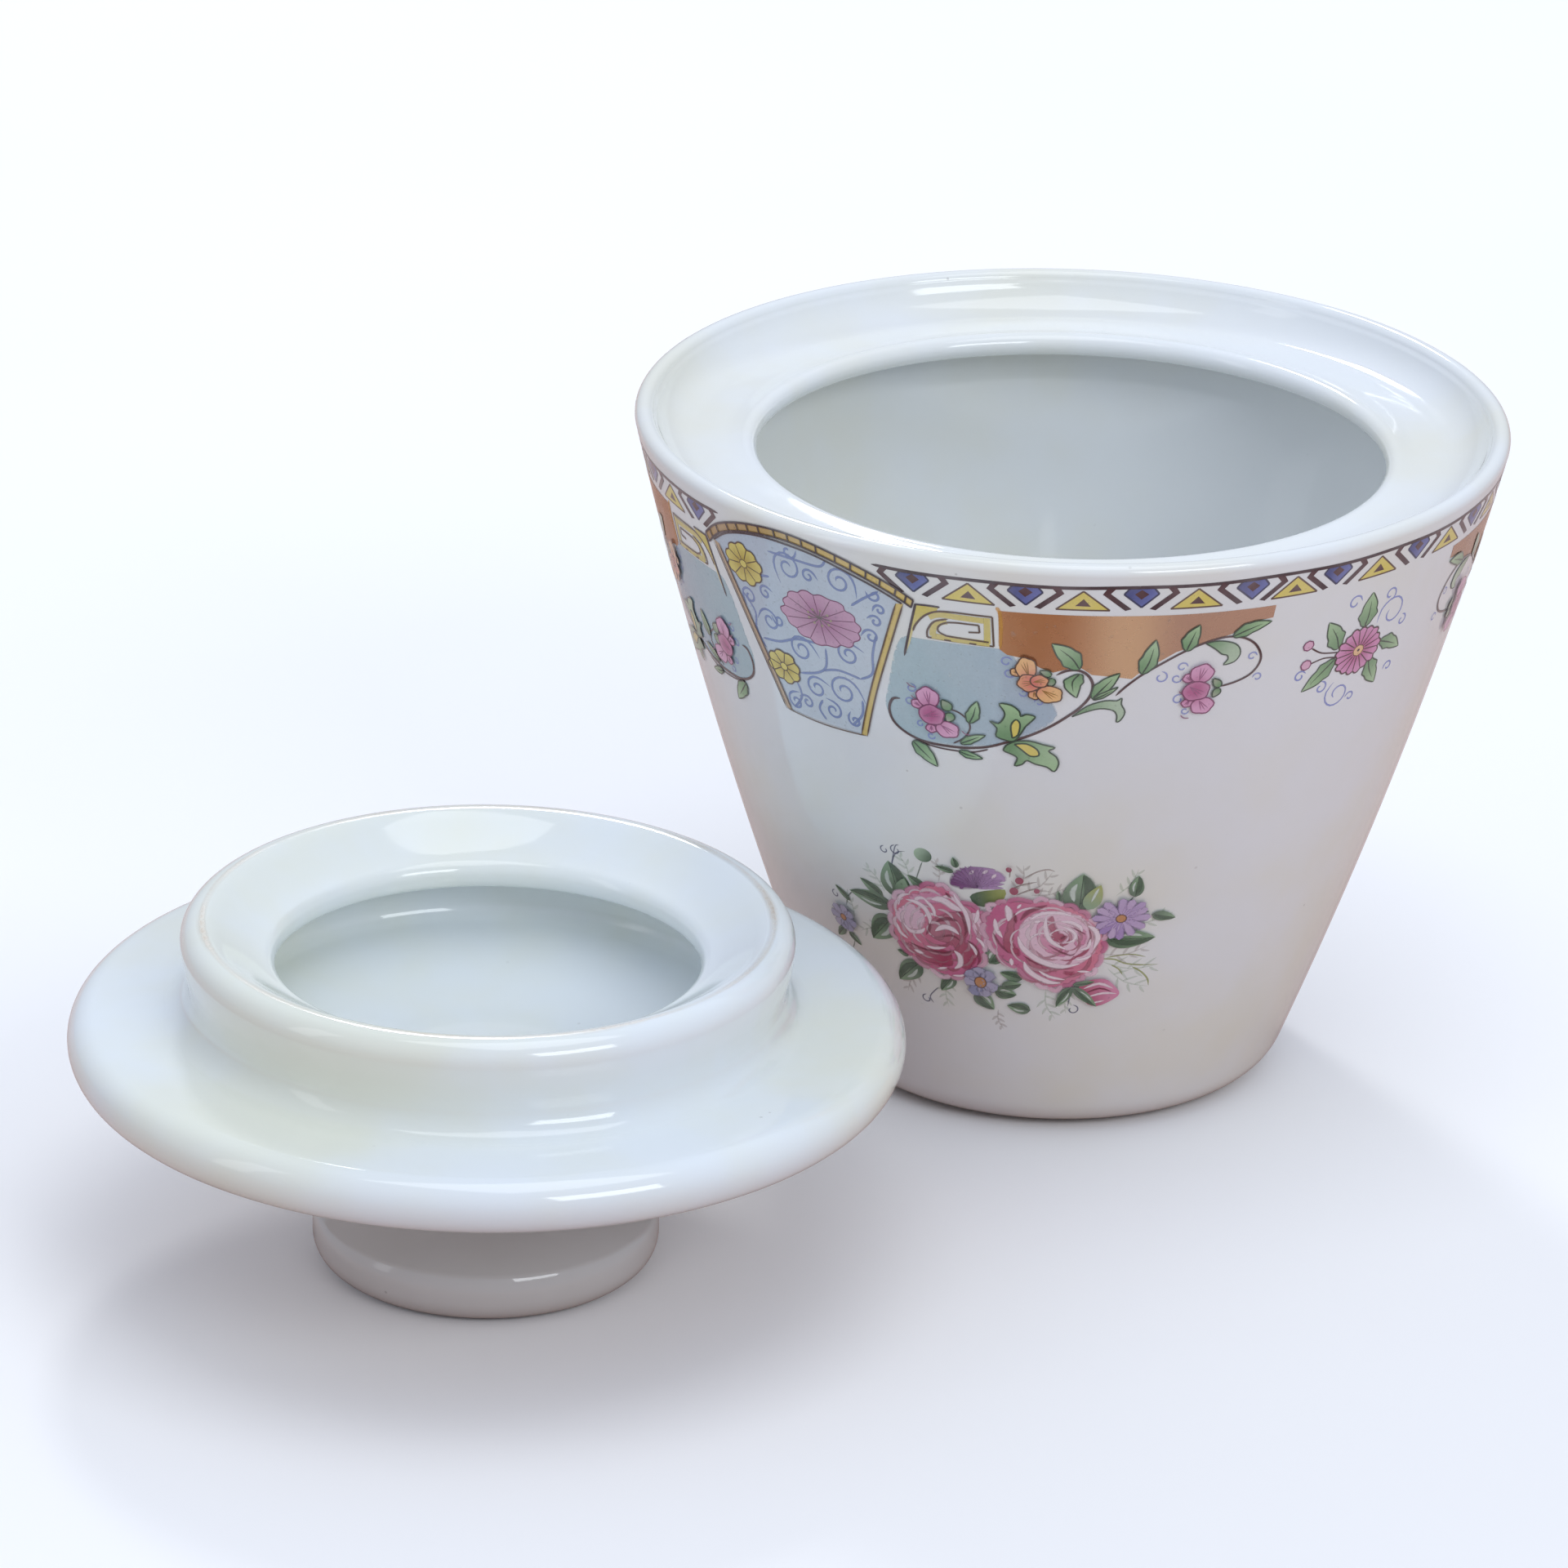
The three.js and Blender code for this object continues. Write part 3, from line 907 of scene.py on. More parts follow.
def petalledFlower(sheet, centre, size, petals, inner, outer, line, heart, heartSize, notch, lineWidth, turn):
    # round flower: size is half width in degrees and half height in mm
    outline = []
    for i in range(petals):
        for k, reach in ((0.0, 1 - notch), (0.28, 0.98), (0.5, 1.0), (0.72, 0.98)):
            angle = 2 * math.pi * (i + k) / petals + math.radians(turn)
            wobble = 1 + 0.03 * math.sin(i * 2.4)
            outline.append((centre[0] + size[0] * reach * wobble * math.cos(angle),
                            centre[1] + size[1] * reach * wobble * math.sin(angle)))
    fill(sheet, outline, outer, tone=fromMiddle(centre, size, inner, outer), steps=2)
    for i in range(petals):
        angle = 2 * math.pi * i / petals + math.radians(turn)
        ends = [(centre[0] + size[0] * k * math.cos(angle), centre[1] + size[1] * k * math.sin(angle))
                for k in (heartSize, 0.6, 1 - notch)]
        brush(sheet, ends, lineWidth * 0.8, line, 0.75, 0.5, (0.1, 0.1), 3, lay=False)
    sheet["layer"] += 1
    brush(sheet, closed(outline), lineWidth, line, 0.95, 0.4, (0, 0), 2)
    if heart:
        fill(sheet, oval(centre, (size[0] * heartSize, size[1] * heartSize)), heart, steps=2)


def blossom(sheet, petals, inner, outer, line):
    # side-on flower of overlapping round petals, the last one in front
    middle = (sum(p[0] for p in petals) / len(petals), sum(p[1] for p in petals) / len(petals))
    for x, y, across, down in petals:
        facing = math.atan2(y - middle[1], x - middle[0])
        shape = []
        for i in range(20):                                 # scalloped on its outer side
            angle = facing + 2 * math.pi * i / 20
            reach = 1.12 + 0.09 * math.cos(5 * (angle - facing)) * (0.5 + 0.5 * math.cos(angle - facing))
            shape.append((x + across * reach * math.cos(angle), y + down * reach * math.sin(angle)))
        paler = mixed(outer, inks["roseWhite"], 0.2)
        fill(sheet, shape, outer, tone=fromMiddle(middle, (3.4, 3.4), inner, paler), steps=1)
        brush(sheet, closed(shape), 0.26, line, 0.9, 0.45, (0, 0), 1, lay=False)
        for k in (-0.5, 0.0, 0.5):                          # fine veins run in toward the middle
            angle = facing + k
            start = (x - across * 0.85 * math.cos(facing), y - down * 0.85 * math.sin(facing))
            end = (x + across * 0.75 * math.cos(angle), y + down * 0.75 * math.sin(angle))
            brush(sheet, [start, end], 0.18, mixed(outer, line, 0.6), 0.8, 0.5, (0.3, 0.2), 2, lay=False)
        sheet["layer"] += 1


# fan panel with its brick arch, flowers and scrolls
fan = {
    "outer": [
        (-17.7, 6.2), (-14.6, 3.8), (-10.4, 2.05), (-6.0, 0.95), (-1.4, 0.45), (3.2, 0.75), (7.8, 1.75),
        (12.2, 3.2), (15.8, 4.8), (18.1, 6.2)],
    "band": 1.2,                # height of the bricks
    "bricks": 17,
    "left": [(-15.8, 6.6), (-12.4, 14.5), (-8.9, 23.2), (-6.4, 30.0)],
    "right": [(16.6, 7.1), (14.1, 14.5), (11.2, 22.6), (8.7, 30.3)],
    "underArch": [
        (-15.8, 6.6), (-12.8, 4.6), (-9.4, 3.3), (-5.2, 2.4), (-0.8, 2.2), (3.8, 2.55), (8.4, 3.75),
        (12.8, 5.3), (16.4, 7.05)],
    "scrolls": [  # centre, radius, start, turns, hand
        (-1.0, 5.9, 2.6, 200, 1.5, -1), (7.4, 5.8, 2.4, 0, 1.5, 1), (2.4, 6.3, 1.2, 30, 1.2, 1),
        (-6.3, 16.0, 1.9, 150, 1.4, -1), (-9.8, 13.3, 1.5, 200, 1.3, -1), (-0.9, 18.9, 2.3, 30, 1.5, 1),
        (7.4, 17.4, 2.0, 60, 1.5, 1), (5.7, 23.8, 2.6, 20, 1.5, 1), (0.8, 24.6, 1.9, 60, 1.4, 1),
        (-4.5, 15.4, 1.0, 200, 1.1, 1), (11.4, 13.5, 1.2, 150, 1.2, -1), (12.3, 10.9, 1.0, 130, 1.1, -1),
        (13.1, 8.9, 0.9, 160, 1.1, -1), (-6.2, 11.6, 1.2, 60, 1.2, 1), (-0.5, 3.3, 1.2, 340, 0.8, -1),
        (-4.0, 28.2, 1.5, 100, 1.3, 1), (3.2, 27.6, 1.5, 80, 1.3, -1), (6.9, 28.3, 1.1, 150, 1.2, 1),
        (12.5, 6.7, 1.0, 200, 1.0, 1), (-1.6, 27.6, 1.1, 120, 1.2, -1)],
    "stems": [
        [(-8.6, 19.5), (-5.0, 18.9), (-1.4, 17.4), (2.6, 17.0)],
        [(-11.2, 13.0), (-9.2, 15.5), (-9.6, 18.3), (-8.3, 21.0)], [(-4.8, 8.6), (-6.5, 9.0), (-8.8, 9.8)],
        [(-4.3, 4.4), (0.4, 4.3), (4.4, 4.2), (5.6, 2.9)], [(8.8, 9.2), (10.9, 7.5), (13.2, 5.9)],
        [(12.2, 13.0), (11.3, 16.5), (10.9, 19.6), (8.8, 21.0)],
        [(3.6, 17.4), (3.2, 20.4), (1.5, 21.9), (-2.0, 23.0)], [(9.0, 21.0), (5.4, 20.5), (2.4, 21.3)],
        [(8.7, 24.5), (8.3, 27.0), (6.3, 29.2)], [(-3.0, 24.8), (-2.6, 27.0), (-4.6, 29.4)],
        [(1.5, 26.4), (0.6, 28.0), (1.6, 29.6)]],
    "flower": (3.3, 12.9),      # middle of the large one
    "small": [((-9.7, 8.2), (3.7, 3.2), 9), ((-5.1, 22.9), (3.2, 2.6), 8)],    # middle, size, petals
}


def addFan(sheet):
    brickLine = smoothPath(fan["outer"], 8)
    inner = [(a * 0.975 + 0.1, s + fan["band"]) for a, s in fan["outer"]]
    innerLine = smoothPath(inner, 8)
    ground = [*fan["underArch"], *fan["right"][1:], *fan["left"][::-1][:-1]]
    fill(sheet, ground, inks["lilacGround"], 0.92, along((-12, 8), (8, 26), inks["lilacGround"], linear("d2dfe9")),
         smooth=False)
    fill(sheet, [*brickLine[::2], *innerLine[::-2]], inks["brick"], smooth=False,
         tone=along((-15, 4), (14, 4), linear("b7935c"), inks["brick"]))
    for edge, across, down, tone in ((fan["right"], -1.0, 0.15, inks["brick"]),
                                     (fan["left"], 1.15, 0.2, linear("c3a888"))):
        side = [(a + across, s + down) for a, s in edge]
        fill(sheet, [*edge, *side[::-1]], tone, smooth=False)

    for x, y, radius, start, turns, hand in fan["scrolls"]:
        curl(sheet, (x, y), radius, start, turns, inks["scroll"], 0.46, hand, 0.2, 0.8, radius * 0.9)
    for stem in fan["stems"]:
        brush(sheet, stem, 0.5, inks["scroll"], 0.75, 0.5, (0.1, 0.1), lay=False)
    sheet["layer"] += 1

    x, y = fan["flower"]
    petalledFlower(sheet, (x, y), (6.7, 4.2), 14, inks["pinkDeep"], inks["pink"], inks["pinkLine"], None, 0.12,
                   0.08, 0.22, turn=8)
    for k in range(9):                                      # stamens
        angle = 2 * math.pi * k / 9
        start, end = (x, y - 0.3), (x + 1.9 * math.cos(angle), y - 0.3 + 1.2 * math.sin(angle))
        brush(sheet, [start, end], 0.2, linear("7d6f6a"), 0.8, 0.5, (0, 0.3), 2, lay=False)
        fill(sheet, oval(end, (0.22, 0.2), 6), linear("a89c78"), steps=1)
    for centre, size, petals in fan["small"]:
        petalledFlower(sheet, centre, size, petals, inks["yellowDark"], inks["yellow"], inks["brown"], inks["yellow"],
                       0.2, 0.12, 0.28, turn=12)
        brush(sheet, closed(oval(centre, (0.75, 0.65), 8)), 0.2, inks["brown"], 0.8, 0.4, (0, 0), 1)

    # the dark lines come last
    for points, width in ((brickLine, 0.36), (innerLine, 0.34), (smoothPath(fan["underArch"], 6), 0.34)):
        brush(sheet, points[::2] + [points[-1]], width, inks["line"], 1, 0.35, (0.01, 0.01), 2, lay=False)
    count = len(brickLine) - 1
    for i in range(fan["bricks"] + 1):
        t = i / fan["bricks"]
        k = min(count, round(t * count))
        brush(sheet, [brickLine[k], innerLine[k]], 0.32, inks["line"], 1, 0.35, (0, 0), 2, lay=False)
    for points, shift in ((fan["left"], 0), (fan["left"], 1.15), (fan["right"], 0), (fan["right"], -1.0)):
        brush(sheet, [(a + shift, s + 0.1) for a, s in points], 0.3, inks["brown"], 1, 0.35, (0.01, 0.01), lay=False)
    brush(sheet, [fan["left"][-1], (1.0, 30.45), fan["right"][-1]], 0.26, inks["brown"], 0.9, 0.35, (0.01, 0.01))


# key, sky ground and copper panel beside the fan
key = {
    "outer": [
        (-22.4, 11.2), (-21.9, 10.0), (-20.6, 8.4), (-18.9, 7.45), (-16.5, 7.2), (-11.5, 7.25),
        (-11.35, 11.95), (-20.4, 11.8), (-20.3, 10.6), (-19.3, 9.1), (-17.4, 8.4)],
    "inner": [
        (-12.0, 11.35), (-17.7, 11.15), (-18.8, 10.6), (-18.7, 9.7), (-17.6, 9.0), (-16.0, 8.8),
        (-13.3, 8.8), (-13.2, 9.95), (-14.7, 10.1)],
    "wedge": [
        (-18.6, 6.75), (-21.8, 6.8), (-23.9, 15.4), (-23.0, 13.4), (-22.4, 11.2), (-20.9, 8.6), (-19.0, 7.5)],
}


sky = {
    "ground": [
        (-24.5, 13.0), (-21.0, 12.2), (-11.0, 12.2), (-9.0, 13.0), (-6.5, 16.0), (-4.2, 19.0), (-2.6, 22.6),
        (-5.5, 25.4), (-9.0, 27.2), (-12.8, 28.5), (-19.5, 29.2), (-24.6, 28.4), (-27.6, 25.0),
        (-26.8, 20.5)],
}
copper = {
    "outline": [
        (-10.7, 6.15), (-4, 6.15), (6, 6.2), (16, 6.3), (26.1, 6.35), (26.0, 8.3), (22.6, 8.6),
        (20.4, 10.1), (17.6, 10.9), (15.0, 11.6), (12.9, 12.3), (10.9, 13.6), (9.0, 14.6), (7.2, 16.4),
        (4.6, 16.0), (1.8, 15.7), (0.3, 14.6), (-1.4, 14.8), (-3.4, 15.5), (-5.0, 14.9), (-7.6, 13.4),
        (-9.6, 13.1), (-10.6, 12.3)],
    "tones": ("bf8555", "ebc79d", "caa78f"),     # darker left, painted highlight in the middle, greyer right
}


def polyLine(sheet, points, width, colour, cover=1.0):
    for a, b in zip(points, points[1:]):
        brush(sheet, [a, b], width, colour, cover, 0.4, (0, 0), 2, lay=False)
    sheet["layer"] += 1


def addSky(sheet):
    tone = along((-26, 20), (-2, 20), inks["skyGround"], linear("b9cfe0"))
    fill(sheet, sky["ground"], inks["skyGround"], 0.72, tone, soft=True, grid=0.5)


def addKey(sheet):
    fill(sheet, key["wedge"], inks["yellow"], 0.9, along((-21, 7), (-23.6, 15), inks["yellow"], linear("e9ddab")),
         smooth=False)
    band = [(-20.0, 8.5), (-18.6, 7.9), (-16.2, 7.9), (-12.3, 8.0)]
    for points in (band, [(-12.2, 7.5), (-12.2, 11.6)], [(-11.9, 11.6), (-19.8, 11.45)],
                   [(-19.6, 11.5), (-19.5, 10.3), (-18.6, 9.2), (-17.6, 8.8)]):
        brush(sheet, points, 1.0, linear("e0d078"), 0.9, 0.25, (0, 0), 4, lay=False)
    sheet["layer"] += 1
    brush(sheet, key["outer"][:5], 0.36, inks["brown"], 1, 0.4, (0.1, 0), lay=False)
    polyLine(sheet, key["outer"][4:8], 0.34, inks["brown"])
    brush(sheet, key["outer"][7:], 0.34, inks["brown"], 1, 0.4, (0, 0.1), lay=False)
    polyLine(sheet, key["inner"][:2], 0.32, inks["brown"])
    brush(sheet, key["inner"][1:6], 0.32, inks["brown"], 1, 0.4, (0, 0), lay=False)
    polyLine(sheet, key["inner"][5:], 0.32, inks["brown"])
    brush(sheet, [(-18.4, 6.7), (-20.0, 6.7), (-21.75, 6.8)], 0.34, inks["line"], 1, 0.35, (0.1, 0), lay=False)
    brush(sheet, [(-21.75, 6.75), (-22.9, 11.2), (-23.95, 15.5)], 0.42, inks["line"], 1, 0.35, (0, 0.1))


def addCopper(sheet):
    # the film is darker on the left, carries a painted highlight brightest in the middle, and is greyer on the right
    thick, paintedHighlight, thin = (linear(c) for c in copper["tones"])

    def tone(angle, depth):
        return mixed(mixed(thick, paintedHighlight, smoothStep(-3, 5.5, angle)), thin, smoothStep(6.5, 14, angle))

    fill(sheet, copper["outline"], inks["orange"], 0.94, tone, smooth=False, grid=1.0)
    brush(sheet, [(-10.95, 5.6), (-10.5, 6.6), (-10.35, 9.0), (-10.5, 12.2)], 0.7, inks["orange"], 0.6, 0.5, (0.1, 0.1))


# vine with its leaves and flowers
vine = {
    "stems": [
        ([(-25.2, 22.7), (-26.4, 23.0), (-27.1, 24.7), (-26.7, 26.6), (-25.2, 28.0), (-22.8, 29.0),
            (-20.0, 29.3), (-16.0, 29.2), (-12.6, 28.6), (-9.5, 27.4), (-6.5, 26.1), (-3.6, 24.4),
            (-1.5, 22.8), (0.4, 21.1), (1.7, 19.2), (2.0, 17.3), (1.3, 15.8), (0.0, 15.0), (-1.6, 15.1),
            (-3.0, 15.9)], 0.48),
        ([(-17.6, 28.7), (-15.9, 27.5), (-15.0, 25.8), (-15.4, 24.4), (-16.6, 23.4), (-17.8, 23.1)], 0.3),
        ([(5.2, 19.1), (6.5, 17.6), (8.5, 15.8), (11.0, 14.1), (13.8, 12.4), (16.5, 11.2), (19.5, 10.5),
            (22.0, 10.9), (24.0, 12.2), (25.2, 14.2), (25.1, 15.8), (24.0, 17.2), (22.0, 18.1),
            (19.6, 18.6)], 0.4), ([(-23.6, 29.1), (-20.0, 29.8), (-15.2, 29.8), (-12.4, 29.0)], 0.28)],
    "leaves": [  # base, tip, width, bend
        ((0.1, 14.8), (-3.7, 10.8), 3.0, 0.3), ((0.2, 15.5), (-0.1, 19.5), 2.6, 0.8),
        ((2.0, 19.6), (5.6, 15.4), 2.2, -0.2), ((2.1, 19.7), (5.5, 17.6), 0.8, 0.1),
        ((8.5, 15.6), (10.0, 10.1), 2.5, 0.2), ((14.2, 12.2), (15.7, 8.1), 2.4, -0.2),
        ((20.5, 10.5), (25.9, 8.8), 2.0, -0.3), ((-15.1, 24.9), (-13.8, 21.1), 1.9, 0.1),
        ((-16.5, 28.5), (-12.7, 26.6), 1.3, -0.1), ((-16.8, 29.8), (-13.2, 30.6), 1.2, 0.1),
        ((-23.8, 29.3), (-20.2, 33.0), 2.3, -0.1)],
    "curls": [  # x, y, radius, start, hand
        (-23.4, 20.6, 0.8, 90, -1), (-23.8, 22.9, 0.75, 0, 1), (-22.4, 26.3, 0.55, 60, 1),
        (-20.9, 28.0, 0.6, 0, -1), (-9.7, 14.2, 0.85, 20, 1), (-9.3, 16.0, 0.85, 0, -1),
        (-7.3, 19.1, 0.65, 180, 1), (-5.2, 20.5, 0.65, 180, -1), (11.2, 16.3, 1.0, 90, -1),
        (14.0, 14.8, 0.8, 0, 1), (13.4, 16.6, 0.8, 0, -1), (14.0, 20.1, 0.85, 60, 1),
        (15.2, 22.1, 0.6, 0, -1), (23.9, 14.2, 0.75, 0, 1), (25.3, 17.8, 0.75, 180, -1)],
    # petals of the side-on flowers: x, y, half width, half height
    "flowerPink": [
        (-22.6, 22.9, 0.75, 0.65), (-20.7, 26.6, 0.75, 0.6), (-18.3, 26.4, 1.55, 1.2),
        (-20.9, 21.5, 1.5, 1.45), (-20.5, 24.3, 1.7, 1.45)],
    "flowerAmber": [
        (-8.3, 15.6, 0.75, 0.6), (-5.8, 19.1, 0.8, 0.65), (-3.8, 18.9, 1.6, 1.25), (-7.0, 14.9, 1.25, 1.6),
        (-6.6, 17.2, 1.4, 1.25), (-5.2, 16.8, 1.1, 0.9)],
    "flowerRose": [
        (15.0, 16.5, 0.75, 0.65), (15.3, 20.6, 0.8, 0.6), (17.5, 21.2, 1.5, 1.2), (16.8, 15.9, 1.5, 1.35),
        (16.3, 18.7, 1.75, 1.4)],
    "acanthusUp": [
        (-9.3, 27.2), (-11.2, 26.6), (-11.1, 25.2), (-12.1, 24.1), (-10.9, 24.4), (-10.1, 23.4),
        (-10.0, 22.4), (-10.7, 21.1), (-9.0, 21.2), (-7.9, 22.1), (-7.7, 22.9), (-6.9, 22.5), (-5.7, 22.8),
        (-6.2, 23.6), (-7.0, 24.5), (-7.7, 25.8), (-8.5, 27.0)],
    "acanthusDown": [
        (-9.8, 27.9), (-8.4, 27.1), (-6.4, 26.9), (-4.4, 27.4), (-2.8, 27.8), (-3.7, 28.4), (-2.6, 29.3),
        (-2.2, 30.5), (-2.8, 31.8), (-3.9, 31.1), (-5.6, 30.7), (-6.8, 30.2), (-7.5, 30.9), (-8.6, 31.2),
        (-8.2, 29.9), (-9.1, 29.3), (-10.2, 28.8)],
    "droopLeaf": [
        (16.8, 11.2), (18.6, 11.0), (20.6, 11.5), (21.7, 12.4), (22.0, 13.6), (21.3, 14.7), (19.8, 15.0),
        (20.3, 14.2), (20.1, 13.5), (19.3, 13.2), (18.3, 12.3)],
    "sweepLeaf": [
        (-0.6, 22.6), (1.4, 20.8), (3.8, 19.9), (5.4, 19.9), (6.1, 19.5), (6.1, 20.5), (6.7, 21.8),
        (6.2, 23.1), (5.6, 23.4), (5.6, 22.4), (5.0, 21.5), (3.2, 21.2), (1.2, 21.8)],
    "hearts": [
        [(-8.9, 26.6), (-9.1, 24.6), (-8.4, 23.5), (-7.8, 24.2), (-8.1, 26.0)],
        [(-8.6, 27.6), (-6.9, 27.4), (-5.4, 28.2), (-5.1, 29.2), (-6.3, 29.4), (-7.5, 28.5)]],
    "calyxes": [
        ((-17.7, 23.2), (-18.9, 21.6), 1.5), ((-17.5, 23.6), (-18.3, 25.2), 1.3),
        ((-3.6, 15.9), (-5.2, 15.2), 1.0), ((-3.4, 16.3), (-3.9, 17.8), 1.1),
        ((19.8, 18.5), (18.6, 17.0), 1.1), ((19.7, 18.7), (18.9, 20.1), 1.1)],
    "stamens": [(-23.9, 19.6), (-23.4, 21.6), (-16.2, 26.2), (14.6, 22.6), (13.9, 18.6)],
}


def outlinedShape(sheet, points, colour, tone, width=0.26):
    fill(sheet, points, colour, tone=tone, steps=3)
    brush(sheet, closed(points), width, inks["greenDark"], 0.9, 0.4, (0, 0), 3)


def addVine(sheet):
    for x, y, radius, start, hand in vine["curls"]:
        curl(sheet, (x, y), radius, start, 0.95, inks["paleBlue"], 0.28, hand, 0.4, 0.75)
    sheet["layer"] += 1
    for points, width in vine["stems"]:
        brush(sheet, points, width, inks["shade"], 1, 0.4, (0.04, 0.04), lay=False)
    sheet["layer"] += 1
    for name, start, end in (("sweepLeaf", (0, 22), (6, 21)), ("droopLeaf", (17, 11), (21, 14))):
        outlinedShape(sheet, vine[name], inks["green"], along(start, end, inks["greenDeep"], inks["leafPale"]))
    for base, tip, width, bend in vine["leaves"]:
        leaf(sheet, base, tip, width, bend, line=inks["greenDark"])
    for name, start, end in (("acanthusUp", (-9, 27), (-9.4, 21)), ("acanthusDown", (-9.8, 28), (-2.6, 30.5))):
        outlinedShape(sheet, vine[name], inks["green"], along(start, end, inks["greenDeep"], inks["green"]), 0.3)
    for heart in vine["hearts"]:
        fill(sheet, heart, inks["yellow"], steps=3)
        brush(sheet, closed(heart), 0.3, inks["greenDark"], 1, 0.4, (0, 0), 3)
    for base, tip, width in vine["calyxes"]:
        leaf(sheet, base, tip, width, 0, linear("a9b19a"), inks["greenDeep"], inks["greenDark"], 0, vein=False)
    for x, y in vine["stamens"]:
        brush(sheet, [(x, y), (x + 0.5, y + 0.5), (x + 1.3, y + 0.6)], 0.26, inks["pinkLine"], 0.8, 0.5, (0.2, 0.2),
              lay=False)
    for name, inner, outer, line in (("flowerPink", "petalDeep", "petal", "pinkLine"),
                                     ("flowerAmber", "coral", "orange", "brown"),
                                     ("flowerRose", "petalDeep", "petal", "pinkLine")):
        blossom(sheet, vine[name], inks[inner], inks[outer], inks[line])


# spray between two vines, measured from the middle of its daisy
spray = {
    "depth": 17.2,             # of that middle, mm down from the rim
    "curls": [  # x, y, radius, start, turns, hand
        (5.3, -4.6, 3.0, 200, 1.15, -1), (8.2, -2.4, 1.0, 100, 1.0, -1), (3.8, -7.8, 1.3, 300, 1.0, 1),
        (-3.1, -8.3, 1.3, 0, 1.0, 1), (-10.0, 2.0, 1.0, 20, 1.1, 1), (-1.9, 6.6, 2.5, 120, 1.3, 1),
        (0.9, 7.8, 0.9, 180, 1.0, -1), (-5.6, 4.8, 1.1, 100, 1.0, -1), (8.2, 5.0, 1.0, 200, 1.0, -1)],
    "stems": [
        [(-9.0, -2.4), (-7.0, -1.2), (-4.0, -0.6)], [(-8.9, 0.3), (-6.5, -0.2), (-4.0, 0.2)],
        [(4.3, 0.2), (6.5, 1.0)], [(0.2, -3.4), (0.0, -4.4)]],
    "leaves": [  # base, tip, width, bend
        ((0.0, -3.6), (0.0, -9.2), 3.6, 0.1), ((-4.1, -1.2), (-7.0, -6.1), 3.1, 0.2),
        ((-4.2, 0.4), (-9.1, 4.7), 2.9, -0.2), ((4.3, -0.2), (9.5, 2.2), 2.5, -0.3),
        ((2.9, 2.3), (5.8, 6.9), 3.0, 0.2)],
    "buds": [(-9.7, -3.0), (-9.4, 0.2)],
}


def addSpray(sheet):
    depth = spray["depth"]
    for x, y, radius, start, turns, hand in spray["curls"]:
        curl(sheet, (x, depth + y), radius, start, turns, inks["paleBlue"], 0.34, hand, 0.3, 0.85)
    sheet["layer"] += 1
    for stem in spray["stems"]:
        brush(sheet, [(a, depth + s) for a, s in stem], 0.3, inks["shade"], 1, 0.4, (0.05, 0.05), lay=False)
    for base, tip, width, bend in spray["leaves"]:
        leaf(sheet, (base[0], depth + base[1]), (tip[0], depth + tip[1]), width, bend, line=inks["greenDark"], cut=0.22)
    petalledFlower(sheet, (0, 17.3), (4.3, 3.8), 17, inks["petalDeep"], inks["petal"], inks["maroon"], inks["heart"],
                   0.24,
                   0.09, 0.3, turn=5)
    brush(sheet, closed(oval((0, 17.3), (1.0, 0.9), 8)), 0.18, inks["maroon"], 0.7, 0.5, (0, 0), 1)
    fill(sheet, oval((0.0, 17.25), (0.28, 0.25), 6), inks["shade"], steps=1)
    for x, y in spray["buds"]:
        bud = oval((x, depth + y), (0.85, 0.8), 8)
        fill(sheet, bud, inks["pinkPale"], steps=2)
        brush(sheet, closed(bud), 0.24, inks["pinkLine"], 0.9, 0.4, (0, 0), 1)


# the band of fans, panels, vines and sprays round the jar, in degrees
band = {
    "fanTurn": 0.5,            # the fan was drawn this far east of its middle
    "back": 0.7,               # the back units mirror the front ones about this far east of the west fan
    "sprays": [("front", 42.4), ("backWest", 207.0), ("backEast", 238.0)],
    "copperLayer": 2,          # the lustre lies over the sky, and the vine over both
    "printLayer": 6,
}


# ways to place a motif: moved round the jar, or mirrored as well
def shifted(turn):
    return lambda a, s: (turn + a, s)


def mirrored(turn):
    return lambda a, s: (turn - a, s)


def printSheet(name, place, layer, finish, *motifs):
    sheet = newSheet()
    sheet["map"] = place
    sheet["layer"] = layer
    for add in motifs:
        add(sheet)
    finishSheet(name, sheet, finish)


def addVineUnit(sheet):
    addSky(sheet)
    sheet["layer"] = band["printLayer"]
    addKey(sheet)
    addVine(sheet)


def makeBand():
    middle = border["fans"][0] + band["fanTurn"]
    for name, place in (("west", shifted(middle)), ("east", mirrored(2 * mirrorAxis - middle))):
        printSheet("fan_transfer_" + name, place, band["printLayer"], inkGlaze, addFan)
    # a key, a sky, a copper panel and a vine on each side of each fan
    back = 2 * (border["fans"][0] + band["back"])
    for name, place in (("frontWest", shifted(0)), ("frontEast", mirrored(2 * mirrorAxis)),
                        ("backWest", mirrored(back)), ("backEast", shifted(2 * mirrorAxis - back))):
        printSheet("copper_lustre_" + name, place, band["copperLayer"], lustreGlaze, addCopper)
        printSheet("vine_transfer_" + name, place, 0, inkGlaze, addVineUnit)
    for name, turn in band["sprays"]:
        printSheet("spray_transfer_" + name, shifted(turn), 0, inkGlaze, addSpray)


makeBand()
print("fans, keys, lustre, vines and sprays printed")


# bouquet of roses
def stroke(sheet, points, width, colour, cover=0.92):
    brush(sheet, points, width, colour, cover, 0.5, (0.3, 0.35), 3, lay=False)


